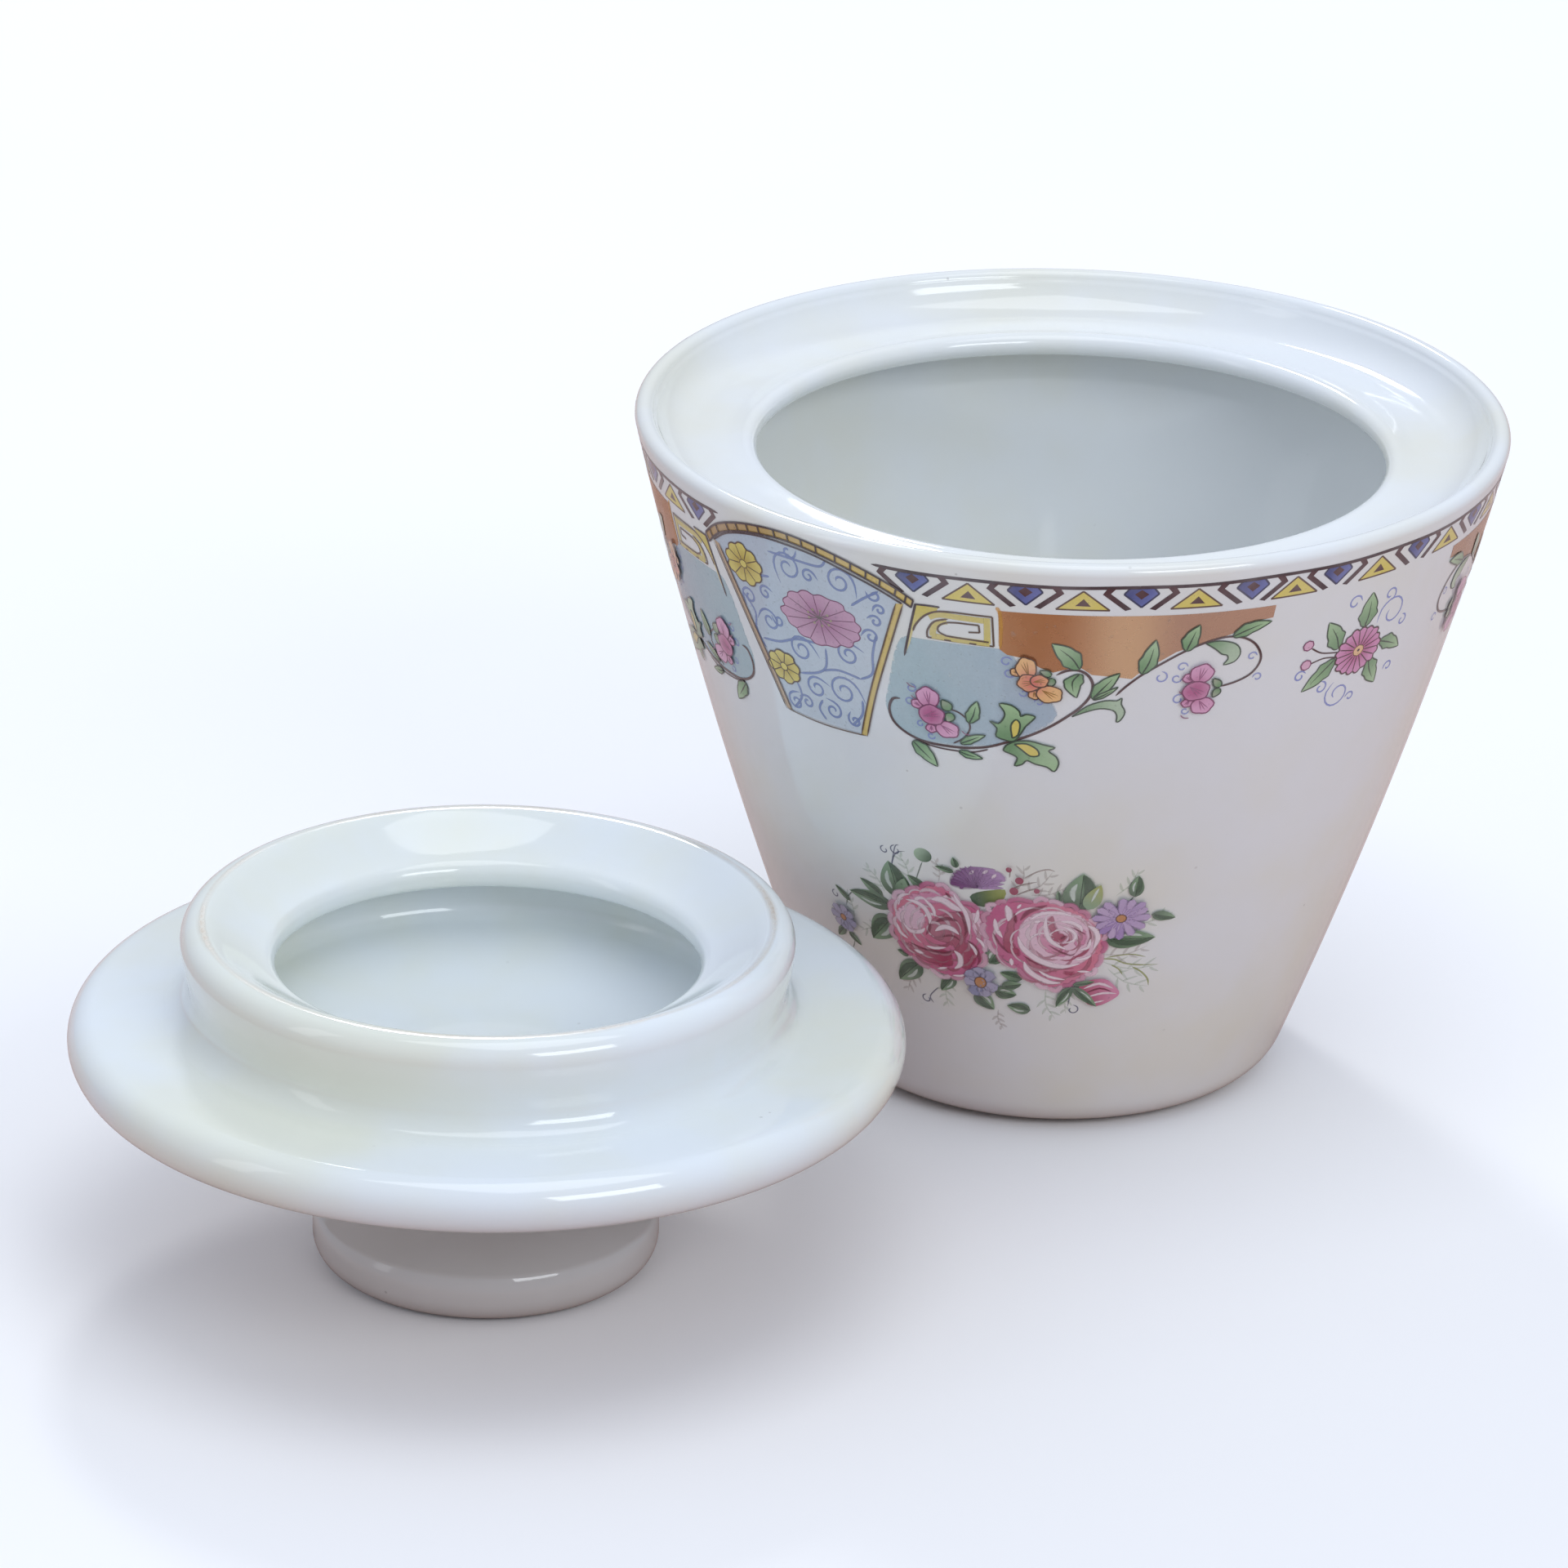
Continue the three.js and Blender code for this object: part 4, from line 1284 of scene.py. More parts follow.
def paintedLeaf(sheet, base, tip, width, glint):
    # a leaf painted wet: dark on one side of the rib, a pale glint on the other
    leaf(sheet, base, tip, width, 0, inks["leafMid"], inks["leafDark"], None, 0, 0, False)
    spot = alongside(base, tip)
    side = width * 0.24
    stroke(sheet, [spot(0.08, 0), spot(0.4, side * 0.9), spot(0.75, side * 0.7), spot(0.96, 0)], width * 0.36,
           inks["leafDark"], 0.8)
    stroke(sheet, [spot(0.04, 0), spot(0.5, 0.02), spot(0.94, 0)], 0.2, inks["leafDark"], 0.7)
    if glint:
        stroke(sheet, [spot(0.25, -side * 0.7), spot(0.5, -side), spot(0.72, -side * 0.6)], width * 0.2,
               inks["leafGlint"], 0.75)
    sheet["layer"] += 1


roseWest = {
    "whorls": [((-23.4, 61.8), (8.4, 7.2), 5)],
    "mass": [
        (-32.0, 60.5), (-31.0, 58.0), (-28.5, 56.0), (-25.5, 54.7), (-22.5, 53.7), (-20.0, 54.3),
        (-18.5, 56.0), (-15.0, 57.0), (-14.2, 59.5), (-14.5, 64.5), (-16.0, 67.4), (-19.0, 69.4),
        (-21.5, 69.8), (-25.5, 69.0), (-29.0, 67.5), (-31.6, 65.2), (-32.3, 62.7)],
    "zones": [  # colour, then outline
        ("rosePale", [(-31.5, 61.0), (-30.0, 59.0), (-27.5, 57.8), (-25.5, 59.0), (-25.2, 61.0),
            (-26.5, 62.3), (-29.0, 62.6)]),
        ("crimson", [(-24.0, 60.0), (-22.0, 58.6), (-19.5, 57.8), (-17.6, 58.6), (-17.0, 61.0),
            (-17.6, 62.8), (-15.8, 64.5), (-16.0, 66.5), (-18.5, 68.2), (-20.0, 66.5), (-20.4, 64.2),
            (-24.0, 63.5), (-25.0, 62.3)]),
        ("crimson", [(-30.5, 65.2), (-27.0, 65.6), (-22.0, 65.0), (-20.6, 66.0), (-20.8, 67.8),
            (-24.0, 68.4), (-28.0, 67.4)]),
        ("roseMid", [(-28.2, 56.6), (-25.0, 55.3), (-22.4, 54.6), (-20.2, 55.4), (-22.5, 57.0),
            (-26.0, 58.0)]),
        ("rosePale", [(-16.2, 57.4), (-14.8, 58.2), (-14.6, 61.5), (-15.6, 62.0), (-16.6, 59.8)])],
    "dark": [
        ([(-25.5, 63.0), (-24.5, 61.5), (-24.6, 60.0)], 0.6),
        ([(-19.8, 57.5), (-18.2, 58.0), (-17.5, 60.5), (-18.0, 62.0)], 0.7),
        ([(-29.5, 65.0), (-26.0, 65.7), (-22.0, 65.6), (-20.8, 65.0)], 0.5),
        ([(-17.6, 62.6), (-16.2, 63.5), (-15.4, 65.5), (-16.0, 67.0)], 0.6),
        ([(-20.8, 54.6), (-19.8, 55.5)], 0.6), ([(-23.2, 60.2), (-21.0, 59.3), (-19.0, 59.4)], 0.8),
        ([(-22.4, 62.8), (-20.4, 62.2), (-18.8, 62.9)], 0.5)],
    "white": [
        ([(-28.5, 57.3), (-26.5, 57.4), (-25.0, 58.2), (-24.3, 59.7), (-24.5, 60.8)], 0.8),
        ([(-25.0, 56.4), (-23.5, 57.8), (-23.2, 59.3)], 0.6),
        ([(-23.5, 56.3), (-21.5, 56.0), (-19.5, 57.0), (-18.0, 57.4)], 1.2),
        ([(-19.3, 54.6), (-18.6, 56.0), (-17.5, 57.5), (-17.0, 59.5), (-17.0, 61.5)], 0.7),
        ([(-15.1, 56.8), (-15.4, 58.3), (-15.9, 59.3)], 0.6),
        ([(-23.5, 61.9), (-21.8, 60.9), (-20.2, 61.0), (-19.0, 61.8)], 0.9),
        ([(-29.8, 61.8), (-28.5, 62.9), (-26.5, 62.6), (-25.5, 61.8)], 0.7),
        ([(-25.7, 65.0), (-24.0, 65.1), (-21.8, 64.6)], 0.5), ([(-28.4, 66.2), (-26.6, 66.6)], 0.6),
        ([(-20.2, 64.9), (-19.2, 65.8), (-19.3, 67.3), (-20.5, 68.2)], 0.8),
        ([(-17.1, 63.1), (-16.2, 64.2), (-16.0, 65.1)], 0.5),
        ([(-15.8, 61.9), (-14.8, 62.7), (-14.4, 63.6)], 0.5),
        ([(-21.0, 69.5), (-19.5, 69.4), (-18.5, 69.0)], 0.4), ([(-24.0, 68.8), (-22.0, 68.3)], 0.4),
        ([(-31.3, 62.0), (-30.8, 63.6), (-29.4, 64.4)], 0.6)],
}
roseEast = {
    "whorls": [((-3.4, 62.2), (9.4, 7.0), 3), ((-0.8, 60.6), (5.8, 4.4), 3)],
    "mass": [
        (-14.0, 59.0), (-13.0, 57.0), (-11.8, 55.5), (-10.0, 54.8), (-5.5, 54.6), (-3.0, 54.2),
        (-0.5, 54.9), (2.0, 55.8), (4.0, 57.2), (6.0, 59.0), (6.8, 61.2), (6.8, 63.5), (6.0, 66.0),
        (4.0, 67.3), (2.5, 68.4), (0.0, 69.4), (-2.5, 69.8), (-5.0, 69.0), (-8.3, 66.5), (-12.0, 64.5),
        (-13.6, 62.0)],
    "zones": [
        ("rosePale", [(-8.3, 60.5), (-7.6, 58.3), (-5.5, 56.5), (-2.5, 55.8), (1.0, 56.0), (4.0, 57.5),
            (6.0, 60.0), (5.8, 63.0), (4.0, 65.0), (1.0, 66.0), (-2.5, 65.6), (-5.5, 64.5), (-7.5, 62.8)]),
        ("crimson", [(-3.2, 57.3), (-2.2, 56.7), (-1.5, 58.3), (-0.5, 59.8), (0.8, 60.2), (-0.2, 61.6),
            (-1.8, 61.4), (-2.8, 60.0), (-3.3, 58.7)]),
        ("crimson", [(-7.0, 64.4), (-5.0, 65.3), (-2.0, 66.3), (1.0, 66.6), (2.6, 66.8), (1.5, 67.8),
            (-1.0, 67.0), (-4.0, 67.5), (-6.0, 66.5)]),
        ("crimson", [(-9.3, 56.5), (-8.3, 57.0), (-8.7, 59.5), (-8.8, 62.0), (-7.5, 64.0), (-9.0, 64.5),
            (-11.0, 63.0), (-10.5, 60.0)]),
        ("roseMid", [(-5.0, 58.6), (-3.6, 57.6), (-3.2, 60.4), (-1.2, 62.2), (1.0, 62.8), (0.2, 64.2),
            (-2.6, 63.6), (-4.8, 61.6)]),
        ("roseMid", [(1.4, 58.4), (3.4, 59.0), (4.2, 61.0), (2.8, 62.4), (1.6, 61.6), (2.2, 60.0)])],
    "dark": [
        ([(-7.8, 57.9), (-6.5, 56.4), (-5.0, 55.6), (-3.2, 54.9)], 0.9),
        ([(-2.8, 62.0), (-1.0, 63.0), (1.2, 63.8), (2.2, 63.3)], 0.4),
        ([(-7.3, 64.2), (-5.5, 65.2), (-3.0, 65.9), (0.0, 66.3), (2.0, 66.1)], 0.45),
        ([(-8.7, 56.8), (-8.5, 58.5)], 0.6), ([(-0.7, 60.9), (0.2, 60.3)], 0.6),
        ([(0.9, 58.6), (3.0, 59.6), (3.6, 60.0)], 0.3), ([(4.2, 59.0), (4.6, 60.5), (4.0, 61.8)], 0.35),
        ([(-12.6, 60.6), (-11.6, 62.4), (-10.0, 64.0)], 0.5)],
    "white": [
        ([(-8.2, 60.8), (-7.5, 62.6), (-5.5, 64.3), (-3.0, 65.4), (0.0, 65.9), (3.0, 65.3)], 1.0),
        ([(-3.3, 57.0), (-3.4, 58.8), (-2.8, 60.8), (-1.5, 61.9), (0.6, 62.8)], 0.7),
        ([(-0.8, 57.7), (1.0, 57.8), (2.6, 58.6), (3.0, 59.5)], 0.6),
        ([(-0.4, 58.6), (1.0, 59.2), (1.9, 60.1), (1.6, 61.1), (0.0, 61.6)], 0.5),
        ([(4.0, 58.4), (5.4, 59.3), (5.9, 60.8), (5.3, 62.6)], 0.8),
        ([(2.8, 62.8), (4.3, 62.3), (4.6, 60.8)], 0.5), ([(2.0, 64.6), (3.8, 64.4), (5.0, 63.8)], 0.5),
        ([(-10.1, 55.4), (-9.7, 56.8), (-9.9, 58.2)], 1.0),
        ([(-12.2, 58.0), (-12.0, 59.8), (-11.0, 61.3)], 0.7), ([(-8.3, 55.8), (-7.6, 55.0)], 0.4),
        ([(-7.1, 65.3), (-6.6, 66.6), (-5.0, 67.8), (-2.5, 68.8), (-0.3, 68.9)], 0.9),
        ([(-4.4, 66.8), (-2.5, 67.8), (0.5, 68.3)], 0.5), ([(2.7, 66.7), (5.0, 66.8)], 0.4),
        ([(-9.5, 64.9), (-9.4, 66.2)], 0.6), ([(-5.3, 58.0), (-4.3, 57.8)], 0.5),
        ([(-6.0, 57.6), (-4.0, 56.4), (-1.0, 56.2), (1.4, 56.8)], 0.6)],
}


def addPetals(sheet, centre, size, turns):
    # loose curved strokes wound round the heart of a rose, paler toward the light
    for ring in range(turns):
        reach = (ring + 1) / turns
        count = 4 + 3 * ring
        for k in range(count):
            start = 2 * math.pi * (k + 0.6 * random.random()) / count + ring
            sweep = (0.9 + 0.5 * random.random()) / (0.6 + 0.5 * ring)
            points = []
            for i in range(4):
                angle = start + sweep * i / 3
                near = reach * (0.92 + 0.07 * math.sin(math.pi * i / 3))
                points.append((centre[0] + size[0] * near * math.cos(angle),
                               centre[1] + size[1] * near * math.sin(angle)))
            lit = 0.5 - 0.5 * math.sin(start + sweep / 2 + 0.6)
            pale = min(1, max(0, 0.15 + 0.85 * lit + 0.25 * (random.random() - 0.5)))
            shade = mixed(inks["crimson"], inks["roseWhite"], pale)
            stroke(sheet, points, 0.3 + 0.5 * random.random(), shade, 0.6 + 0.35 * random.random())
    sheet["layer"] += 1


def feather(sheet, root, turn, length, colour, cover):
    # faint grassy sprig with short side blades
    scale = mmPerDegree(root[1])
    angle = math.radians(turn)
    dx, dy = math.cos(angle), -math.sin(angle)

    def spot(t, off):
        bow = 0.12 * length * math.sin(math.pi * t)
        return (root[0] + (dx * length * t - dy * (off + bow)) / scale, root[1] + dy * length * t + dx * (off + bow))

    brush(sheet, [spot(0, 0), spot(0.5, 0), spot(1, 0)], 0.3, colour, cover, 0.5, (0.1, 0.4), 3, lay=False)
    for k in range(6):
        t = 0.2 + 0.13 * k
        side = 1 if k % 2 else -1
        blade = length * 0.30 * (1 - 0.5 * t)
        brush(sheet, [spot(t, 0), spot(t + 0.08, side * blade * 0.5), spot(t + 0.20, side * blade)], 0.5, colour, cover,
              0.5, (0.2, 0.4), 2, lay=False)


def addRose(sheet, rose, light, deep):
    fill(sheet, rose["mass"], inks["rose"], tone=along(light, deep, linear("dc7f97"), inks["rose"]), steps=3)
    # ruffled petal edges, a little past the outline
    middle = [sum(p[k] for p in rose["mass"]) / len(rose["mass"]) for k in (0, 1)]
    for i, (here, there) in enumerate(zip(rose["mass"], rose["mass"][1:] + rose["mass"][:1])):
        bulge = 0.07 + 0.03 * math.sin(2.2 * i)
        half = tuple((a + b) / 2 + bulge * ((a + b) / 2 - m) for a, b, m in zip(here, there, middle))
        tint = mixed(inks["rose"], inks["rosePale"], 0.5 + 0.5 * math.sin(1.7 * i))
        brush(sheet, [here, half, there], 1.1, tint, 0.85, 0.6, (0.15, 0.15), 4, lay=False)
    sheet["layer"] += 1
    for colour, outline in rose["zones"]:
        paler = mixed(inks[colour], inks["roseWhite"], 0.18)
        fill(sheet, outline, inks[colour], 0.95, along(outline[0], outline[len(outline) // 2], paler, inks[colour]),
             steps=3, soft=True, grid=0.6)
    for centre, size, turns in rose["whorls"]:
        addPetals(sheet, centre, size, turns)
    for points, width in rose["dark"]:
        stroke(sheet, points, width, inks["crimsonDark"], 0.55)
    sheet["layer"] += 1
    for points, width in rose["white"]:
        stroke(sheet, points, 1.25 * width, inks["roseWhite"], 0.92)
    sheet["layer"] += 1


bouquet = {
    "leaves": [  # base, tip, width
        ((-30.0, 57.8), (-31.2, 51.4), 3.8), ((-24.8, 55.0), (-27.8, 53.1), 1.4),
        ((-33.5, 58.2), (-38.0, 56.0), 1.5), ((-31.8, 59.5), (-41.2, 59.0), 2.4),
        ((-32.2, 61.6), (-37.9, 66.6), 3.3), ((-41.5, 61.0), (-44.7, 59.0), 0.9),
        ((-44.9, 66.5), (-47.3, 68.5), 1.1), ((-44.0, 67.0), (-41.3, 68.8), 0.9),
        ((-27.8, 68.6), (-33.3, 72.8), 2.7), ((-30.0, 67.8), (-32.5, 67.3), 0.9),
        ((-20.9, 69.8), (-24.0, 73.0), 1.7), ((-16.8, 72.2), (-13.2, 75.0), 2.2),
        ((-13.0, 71.5), (-8.6, 71.8), 1.9), ((-5.9, 74.5), (-10.6, 73.9), 1.7),
        ((-7.5, 68.8), (-11.8, 67.9), 1.5), ((11.6, 53.7), (11.8, 49.9), 1.7),
        ((15.1, 57.0), (19.6, 58.0), 1.4), ((7.2, 61.1), (16.5, 61.2), 2.8),
        ((2.2, 55.9), (2.6, 49.3), 4.0), ((-19.0, 50.8), (-22.3, 50.3), 0.8),
        ((-18.5, 50.0), (-19.0, 48.2), 0.9), ((-1.1, 54.5), (-1.5, 52.4), 0.7),
        ((-13.6, 66.4), (-11.6, 63.4), 2.0), ((-11.5, 70.4), (-7.6, 69.6), 1.4)],
    "sprigs": [  # points, width, ink
        ([(-8.5, 53.8), (-6.5, 52.8), (-5.2, 52.4)], 0.3, "sprig"),
        ([(-9.4, 52.9), (-7.6, 51.9), (-5.0, 51.2)], 0.3, "sprig"),
        ([(-7.0, 50.6), (-5.0, 49.4), (-3.3, 48.9), (-2.1, 49.2)], 0.3, "sprig"),
        ([(-9.6, 50.8), (-9.4, 49.0)], 0.26, "sprig"),
        ([(6.8, 64.8), (9.5, 65.0), (11.5, 65.8), (14.5, 66.3), (18.0, 66.5)], 0.34, "olive"),
        ([(9.0, 66.0), (10.5, 66.8), (11.4, 67.9)], 0.3, "olive"),
        ([(8.0, 64.6), (12.2, 64.2), (15.4, 64.9)], 0.28, "olive"),
        ([(13.0, 66.5), (15.0, 67.6), (16.5, 69.0), (17.0, 70.3)], 0.34, "olive"),
        ([(-29.8, 57.0), (-30.8, 53.2), (-29.6, 49.9), (-27.6, 49.0)], 0.26, "slateDark"),
        ([(-30.6, 52.0), (-29.4, 48.6), (-28.6, 48.2)], 0.22, "slateDark"),
        ([(-26.2, 53.6), (-25.2, 51.4), (-24.6, 50.2)], 0.22, "leafDark"),
        ([(-40.6, 59.2), (-42.0, 60.4), (-43.0, 62.2)], 0.26, "leafDark"),
        ([(-43.6, 66.4), (-43.2, 68.6), (-44.4, 70.2)], 0.24, "leafDark"),
        ([(1.0, 69.2), (1.6, 71.4), (1.4, 73.6)], 0.26, "slateDark"),
        ([(11.4, 53.8), (10.6, 54.9)], 0.3, "leafDark"), ([(14.6, 56.6), (13.4, 56.6)], 0.3, "leafDark"),
        ([(-24.6, 72.6), (-26.8, 74.6), (-26.2, 75.8)], 0.24, "slateDark")],
    "feathers": [  # root, direction in degrees, length in mm, ink
        (-9.0, 53.6, 75, 5.4, "sprig"), (-7.6, 53.4, 45, 5.8, "sprig"), (-6.0, 53.6, 20, 5.0, "sprig"),
        (7.4, 65.4, -8, 8.0, "leafPale"), (8.4, 66.6, -32, 7.2, "leafPale"), (6.8, 64.0, 10, 6.4, "sprig"),
        (12.4, 58.8, 25, 5.0, "leafPale"), (8.4, 53.4, 60, 5.2, "leafPale"),
        (2.2, 70.4, -100, 4.6, "leafPale"), (-3.0, 70.6, -75, 5.6, "leafPale"),
        (-21.6, 70.6, -100, 5.4, "leafPale"), (-27.8, 70.6, -125, 5.0, "sprig"),
        (-33.4, 64.6, -165, 5.6, "leafPale"), (-41.6, 64.0, 100, 4.6, "leafPale"),
        (-33.0, 57.4, 125, 4.8, "leafPale"), (-27.6, 54.4, 105, 5.0, "leafPale"),
        (-22.0, 53.2, 95, 4.0, "sprig"), (-12.4, 75.0, -80, 3.6, "sprig")],
    "bud": [
        (3.2, 69.3), (5.0, 68.4), (8.0, 68.2), (10.0, 69.5), (11.2, 71.0), (9.8, 72.2), (7.0, 73.2),
        (4.5, 72.3)],
    "plume": [
        (-20.0, 53.4), (-19.6, 51.3), (-17.5, 49.9), (-15.0, 49.4), (-12.5, 49.4), (-10.5, 50.2),
        (-10.0, 51.3), (-12.0, 52.5), (-15.0, 53.3), (-17.5, 53.9)],
    "asters": [  # middle, size, petals, inks of petal and edge, share of the heart
        ((9.6, 57.2), (5.2, 3.9), 14, "asterPetal", "asterDark", 0.18),
        ((-43.9, 64.2), (3.2, 2.5), 8, "slate", "slateDark", 0.22),
        ((-15.5, 69.9), (3.4, 2.9), 7, "slate", "slateDark", 0.34)],
    "curls": [
        (-29.4, 49.2, 0.9), (-31.6, 49.6, 0.7), (2.4, 74.2, 0.9), (-45.2, 60.8, 0.7), (-27.6, 75.2, 0.8)],
    "berries": [
        (-7.9, 50.8, 0.7), (-8.8, 52.7, 0.75), (-9.6, 49.0, 0.5), (-5.0, 52.4, 0.5)],    # x, y, radius
}


def daisy(sheet, centre, size, petals, petal, edge, heartSize):
    # open flower of separate strokes, each petal with a fine dark edge round it
    heart = oval(centre, (size[0] * heartSize, size[1] * heartSize), 10)
    for i in range(petals):
        angle = 2 * math.pi * (i + 0.5 * random.random()) / petals
        reach = 0.86 + 0.16 * random.random()
        ax, ay = size[0] * math.cos(angle), size[1] * math.sin(angle)
        tip = (centre[0] + ax * reach, centre[1] + ay * reach)
        root = (centre[0] + ax * 0.16, centre[1] + ay * 0.16)
        run = [root, ((root[0] + tip[0]) / 2, (root[1] + tip[1]) / 2), tip]
        wide = 2 * math.pi * size[1] / petals * 0.78
        brush(sheet, run, wide + 0.18, edge, 0.85, 0.4, (0.3, 0.2), 3, lay=False)
        sheet["layer"] += 0.5
        tint = mixed(petal, inks["roseWhite"], 0.35 * random.random())
        brush(sheet, run, wide, tint, 0.95, 0.4, (0.3, 0.2), 3, lay=False)
        sheet["layer"] -= 0.5
    sheet["layer"] += 1
    fill(sheet, heart, inks["amber"], steps=2)
    brush(sheet, closed(heart), 0.24, inks["shade"], 0.5, 0.5, (0, 0), 2)


def makeBouquet(name, turn):
    sheet = newSheet()
    sheet["map"] = shifted(turn)
    for points, width, ink in bouquet["sprigs"]:
        brush(sheet, points, width, inks[ink], 0.6, 0.45, (0.15, 0.3), 4, lay=False)
    for x, y, lean, length, ink in bouquet["feathers"]:
        feather(sheet, (x, y), lean, length, inks[ink], 0.26)
    sheet["layer"] += 1
    for x, y, radius in bouquet["curls"]:
        curl(sheet, (x, y), radius, 90, 0.9, inks["slateDark"], 0.24, 1 if x < 0 else -1, 0.4, 0.7)
    fill(sheet, oval((-24.4, 49.0), (1.6, 1.2), 10), inks["leafMid"],
         tone=along((-26, 48), (-23, 50), inks["leafPale"], inks["leafDark"]), steps=2)
    # purple flower behind the roses, its petals fanned upward
    fill(sheet, bouquet["plume"], inks["purple"], 0.95, along((-20, 52), (-10, 51), inks["purple"], inks["purplePale"]),
         steps=3,
         soft=True, grid=0.6)
    for k in range(15):
        angle = math.radians(188 + 12.0 * k)
        reach = 0.9 + 0.12 * random.random()
        tip = (-15.2 + 5.0 * reach * math.cos(angle), 53.0 + 3.6 * reach * math.sin(angle))
        stroke(sheet, [(-15.2, 53.3), ((-15.2 + tip[0]) / 2, (53.0 + tip[1]) / 2), tip], 0.75,
               mixed(inks["purple"], inks["purplePale"], 0.2 + 0.05 * k + 0.2 * random.random()), 0.8)
    for points in ([(-14.2, 50.6), (-13.2, 49.9)], [(-12.6, 51.2), (-11.8, 50.4)], [(-16.4, 51.0), (-15.6, 50.2)]):
        stroke(sheet, points, 0.6, inks["roseWhite"], 0.8)
    fill(sheet, [(-16.6, 55.0), (-15.2, 54.0), (-12.6, 53.3), (-10.4, 53.0), (-10.6, 54.6), (-13.0, 56.2),
                 (-15.4, 56.4)],
         inks["olive"], 0.95, along((-16, 55), (-10, 53), inks["leafDark"], inks["olive"]), steps=2)
    for base, tip, width in bouquet["leaves"]:
        paintedLeaf(sheet, base, tip, 1.2 * width, glint=width > 1.6)
    leaf(sheet, (-29.6, 57.4), (-28.3, 53.6), 2.2, 0, inks["leafMid"], inks["leafDark"], None, 0, 0, False)
    leaf(sheet, (3.6, 55.6), (5.6, 51.2), 2.4, 0, inks["olive"], inks["leafMid"], None, 0, 0, False)
    stroke(sheet, [(4.2, 54.2), (4.8, 52.8), (5.3, 51.8)], 0.5, inks["leafGlint"], 0.8)
    addRose(sheet, roseWest, (-31, 58), (-17, 66))
    addRose(sheet, roseEast, (6, 57), (-11, 63))
    # rosebud and its sepals
    fill(sheet, bouquet["bud"], inks["roseMid"], tone=along((3.5, 72.5), (10.5, 69.5), inks["crimson"],
                                                            inks["roseMid"]), steps=3)
    for points, width in (([(4.2, 69.9), (7.0, 69.0), (9.8, 70.0)], 0.6),
                          ([(5.2, 71.4), (8.0, 70.8), (10.6, 71.0)], 0.5),
                          ([(6.0, 72.6), (8.4, 72.2)], 0.4)):
        stroke(sheet, points, width, inks["roseWhite"], 0.85)
    stroke(sheet, [(4.4, 70.8), (7.2, 69.9), (9.6, 70.6)], 0.4, inks["crimsonDark"], 0.75)
    sheet["layer"] += 1
    for base, tip, width in (((2.0, 69.6), (7.0, 73.3), 1.5), ((1.8, 69.6), (-1.0, 73.4), 1.6),
                             ((2.0, 69.2), (6.2, 68.6), 0.9)):
        paintedLeaf(sheet, base, tip, width, glint=width > 1.4)
    # asters
    for centre, size, petals, ink, edge, heartSize in bouquet["asters"]:
        daisy(sheet, centre, size, petals, inks[ink], inks[edge], heartSize)
    for x, y, radius in bouquet["berries"]:
        fill(sheet, oval((x, y), (radius, radius * 0.9), 8), inks["berry"], steps=2)
    finishSheet("bouquet_transfer_" + name, sheet, inkGlaze)


makeBouquet("front", 0.0)
makeBouquet("back", 180.0)
print("bouquets printed")


# studio
studio = {
    "floorColour": "fdfdfd",
    "floorCloud": "f9f8f7",
    "tableColour": "c8b2aa",       # what the porcelain mirrors from below
    "skyColour": "e6eeff",
    "horizonColour": "d0d6e4",
    "strength": 0.80,
}
lamps = {  # place and aim in metres, width and height, watts, colour
    "window": ((-0.12, 0.85, 0.75), (0, 0, 0.05), (0.13, 0.17), 2.2, (0.93, 0.96, 1.0)),
    "ceiling": ((0.1, -0.1, 1.3), (0, 0, 0), (0.8, 0.8), 3.2, (0.96, 0.98, 1.0)),
    "front": ((0.75, -1.1, 0.9), (0, 0, 0.05), (0.75, 0.45), 5.2, (0.92, 0.965, 1.0)),
    "side": ((-0.9, -0.4, 0.5), (0, 0, 0.05), (0.2, 0.7), 0.4, (0.95, 0.97, 1.0)),
}


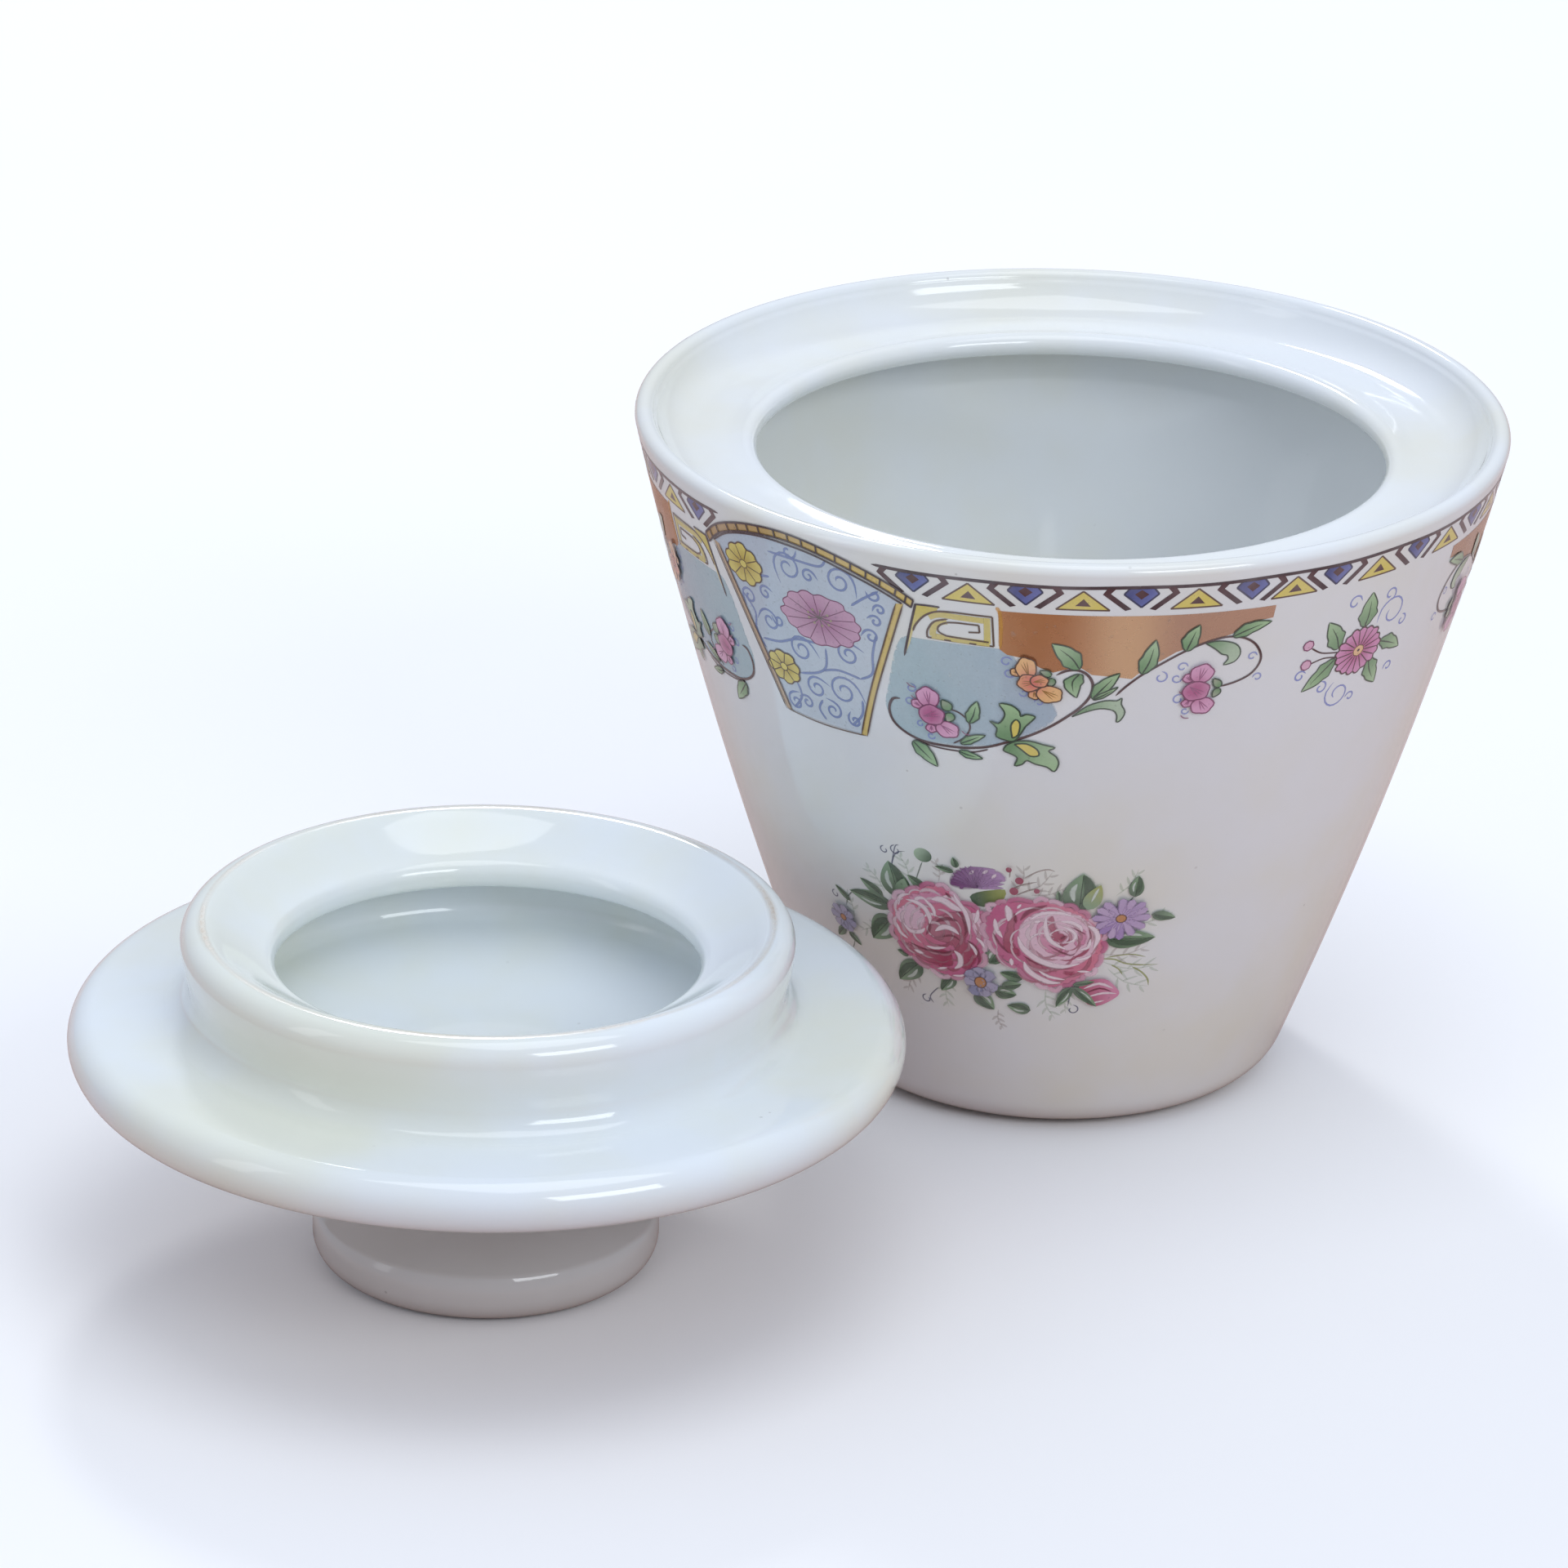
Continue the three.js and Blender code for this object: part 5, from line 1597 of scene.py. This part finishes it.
def makeFloor():
    bpy.ops.mesh.primitive_plane_add(size=4, location=(0, 0, -0.0002))
    floor = bpy.context.object
    floor.name = "studio_floor"
    material, tree, shader = newMaterial("paperFloor")
    place = tree.nodes.new("ShaderNodeTexCoord").outputs["Object"]
    tone = addRamp(tree, addNoise(tree, place, 3, 3), 0.3, 0.7)
    paper = addMix(tree, tone, linear(studio["floorColour"]), linear(studio["floorCloud"]))
    seen = tree.nodes.new("ShaderNodeLightPath").outputs["Is Camera Ray"]
    tree.links.new(addMix(tree, seen, linear(studio["tableColour"]), paper), shader.inputs["Base Color"])
    shader.inputs["Roughness"].default_value = 0.8
    floor.data.materials.append(material)


def addLamp(name, place, aim, size, power, colour):
    data = bpy.data.lights.new(name, "AREA")
    data.shape = "RECTANGLE"
    data.size, data.size_y = size
    data.energy = power
    data.color = colour
    lamp = bpy.data.objects.new(name, data)
    bpy.context.scene.collection.objects.link(lamp)
    lamp.location = place
    lamp.rotation_euler = (Vector(aim) - Vector(place)).to_track_quat("-Z", "Y").to_euler()


def makeWorld():
    world = bpy.data.worlds.new("studio")
    bpy.context.scene.world = world
    world.use_nodes = True
    tree = world.node_tree
    back = tree.nodes["Background"]
    way = tree.nodes.new("ShaderNodeTexCoord").outputs["Generated"]
    split = tree.nodes.new("ShaderNodeSeparateXYZ")
    tree.links.new(way, split.inputs[0])
    rise = addRamp(tree, split.outputs["Z"], 0.0, 0.75)
    tone = addMix(tree, rise, linear(studio["horizonColour"]), linear(studio["skyColour"]))
    tree.links.new(tone, back.inputs["Color"])
    back.inputs["Strength"].default_value = studio["strength"]


camera = {
    "place": (-2.5, -979.2, 463.5),    # mm
    "pitch": 22.8,
    "roll": 1.375,
    "lens": 180.45,
}


def makeCamera():
    data = bpy.data.cameras.new("camera")
    data.lens = camera["lens"]
    data.sensor_width = 36
    data.clip_start, data.clip_end = 0.05, 20
    made = bpy.data.objects.new("camera", data)
    bpy.context.scene.collection.objects.link(made)
    pitch, roll = math.radians(camera["pitch"]), math.radians(camera["roll"])
    right, up = Vector((1, 0, 0)), Vector((0, math.sin(pitch), math.cos(pitch)))
    axes = Matrix((right * math.cos(roll) + up * math.sin(roll), up * math.cos(roll) - right * math.sin(roll),
                   Vector((0, -math.cos(pitch), math.sin(pitch))))).transposed()
    made.matrix_world = Matrix.Translation(Vector(camera["place"]) * mm) @ axes.to_4x4()
    bpy.context.scene.camera = made


makeFloor()
makeWorld()
for lampName, settings in lamps.items():
    addLamp(lampName, *settings)
makeCamera()
bpy.context.scene.view_settings.view_transform = "Standard"
print("studio set")
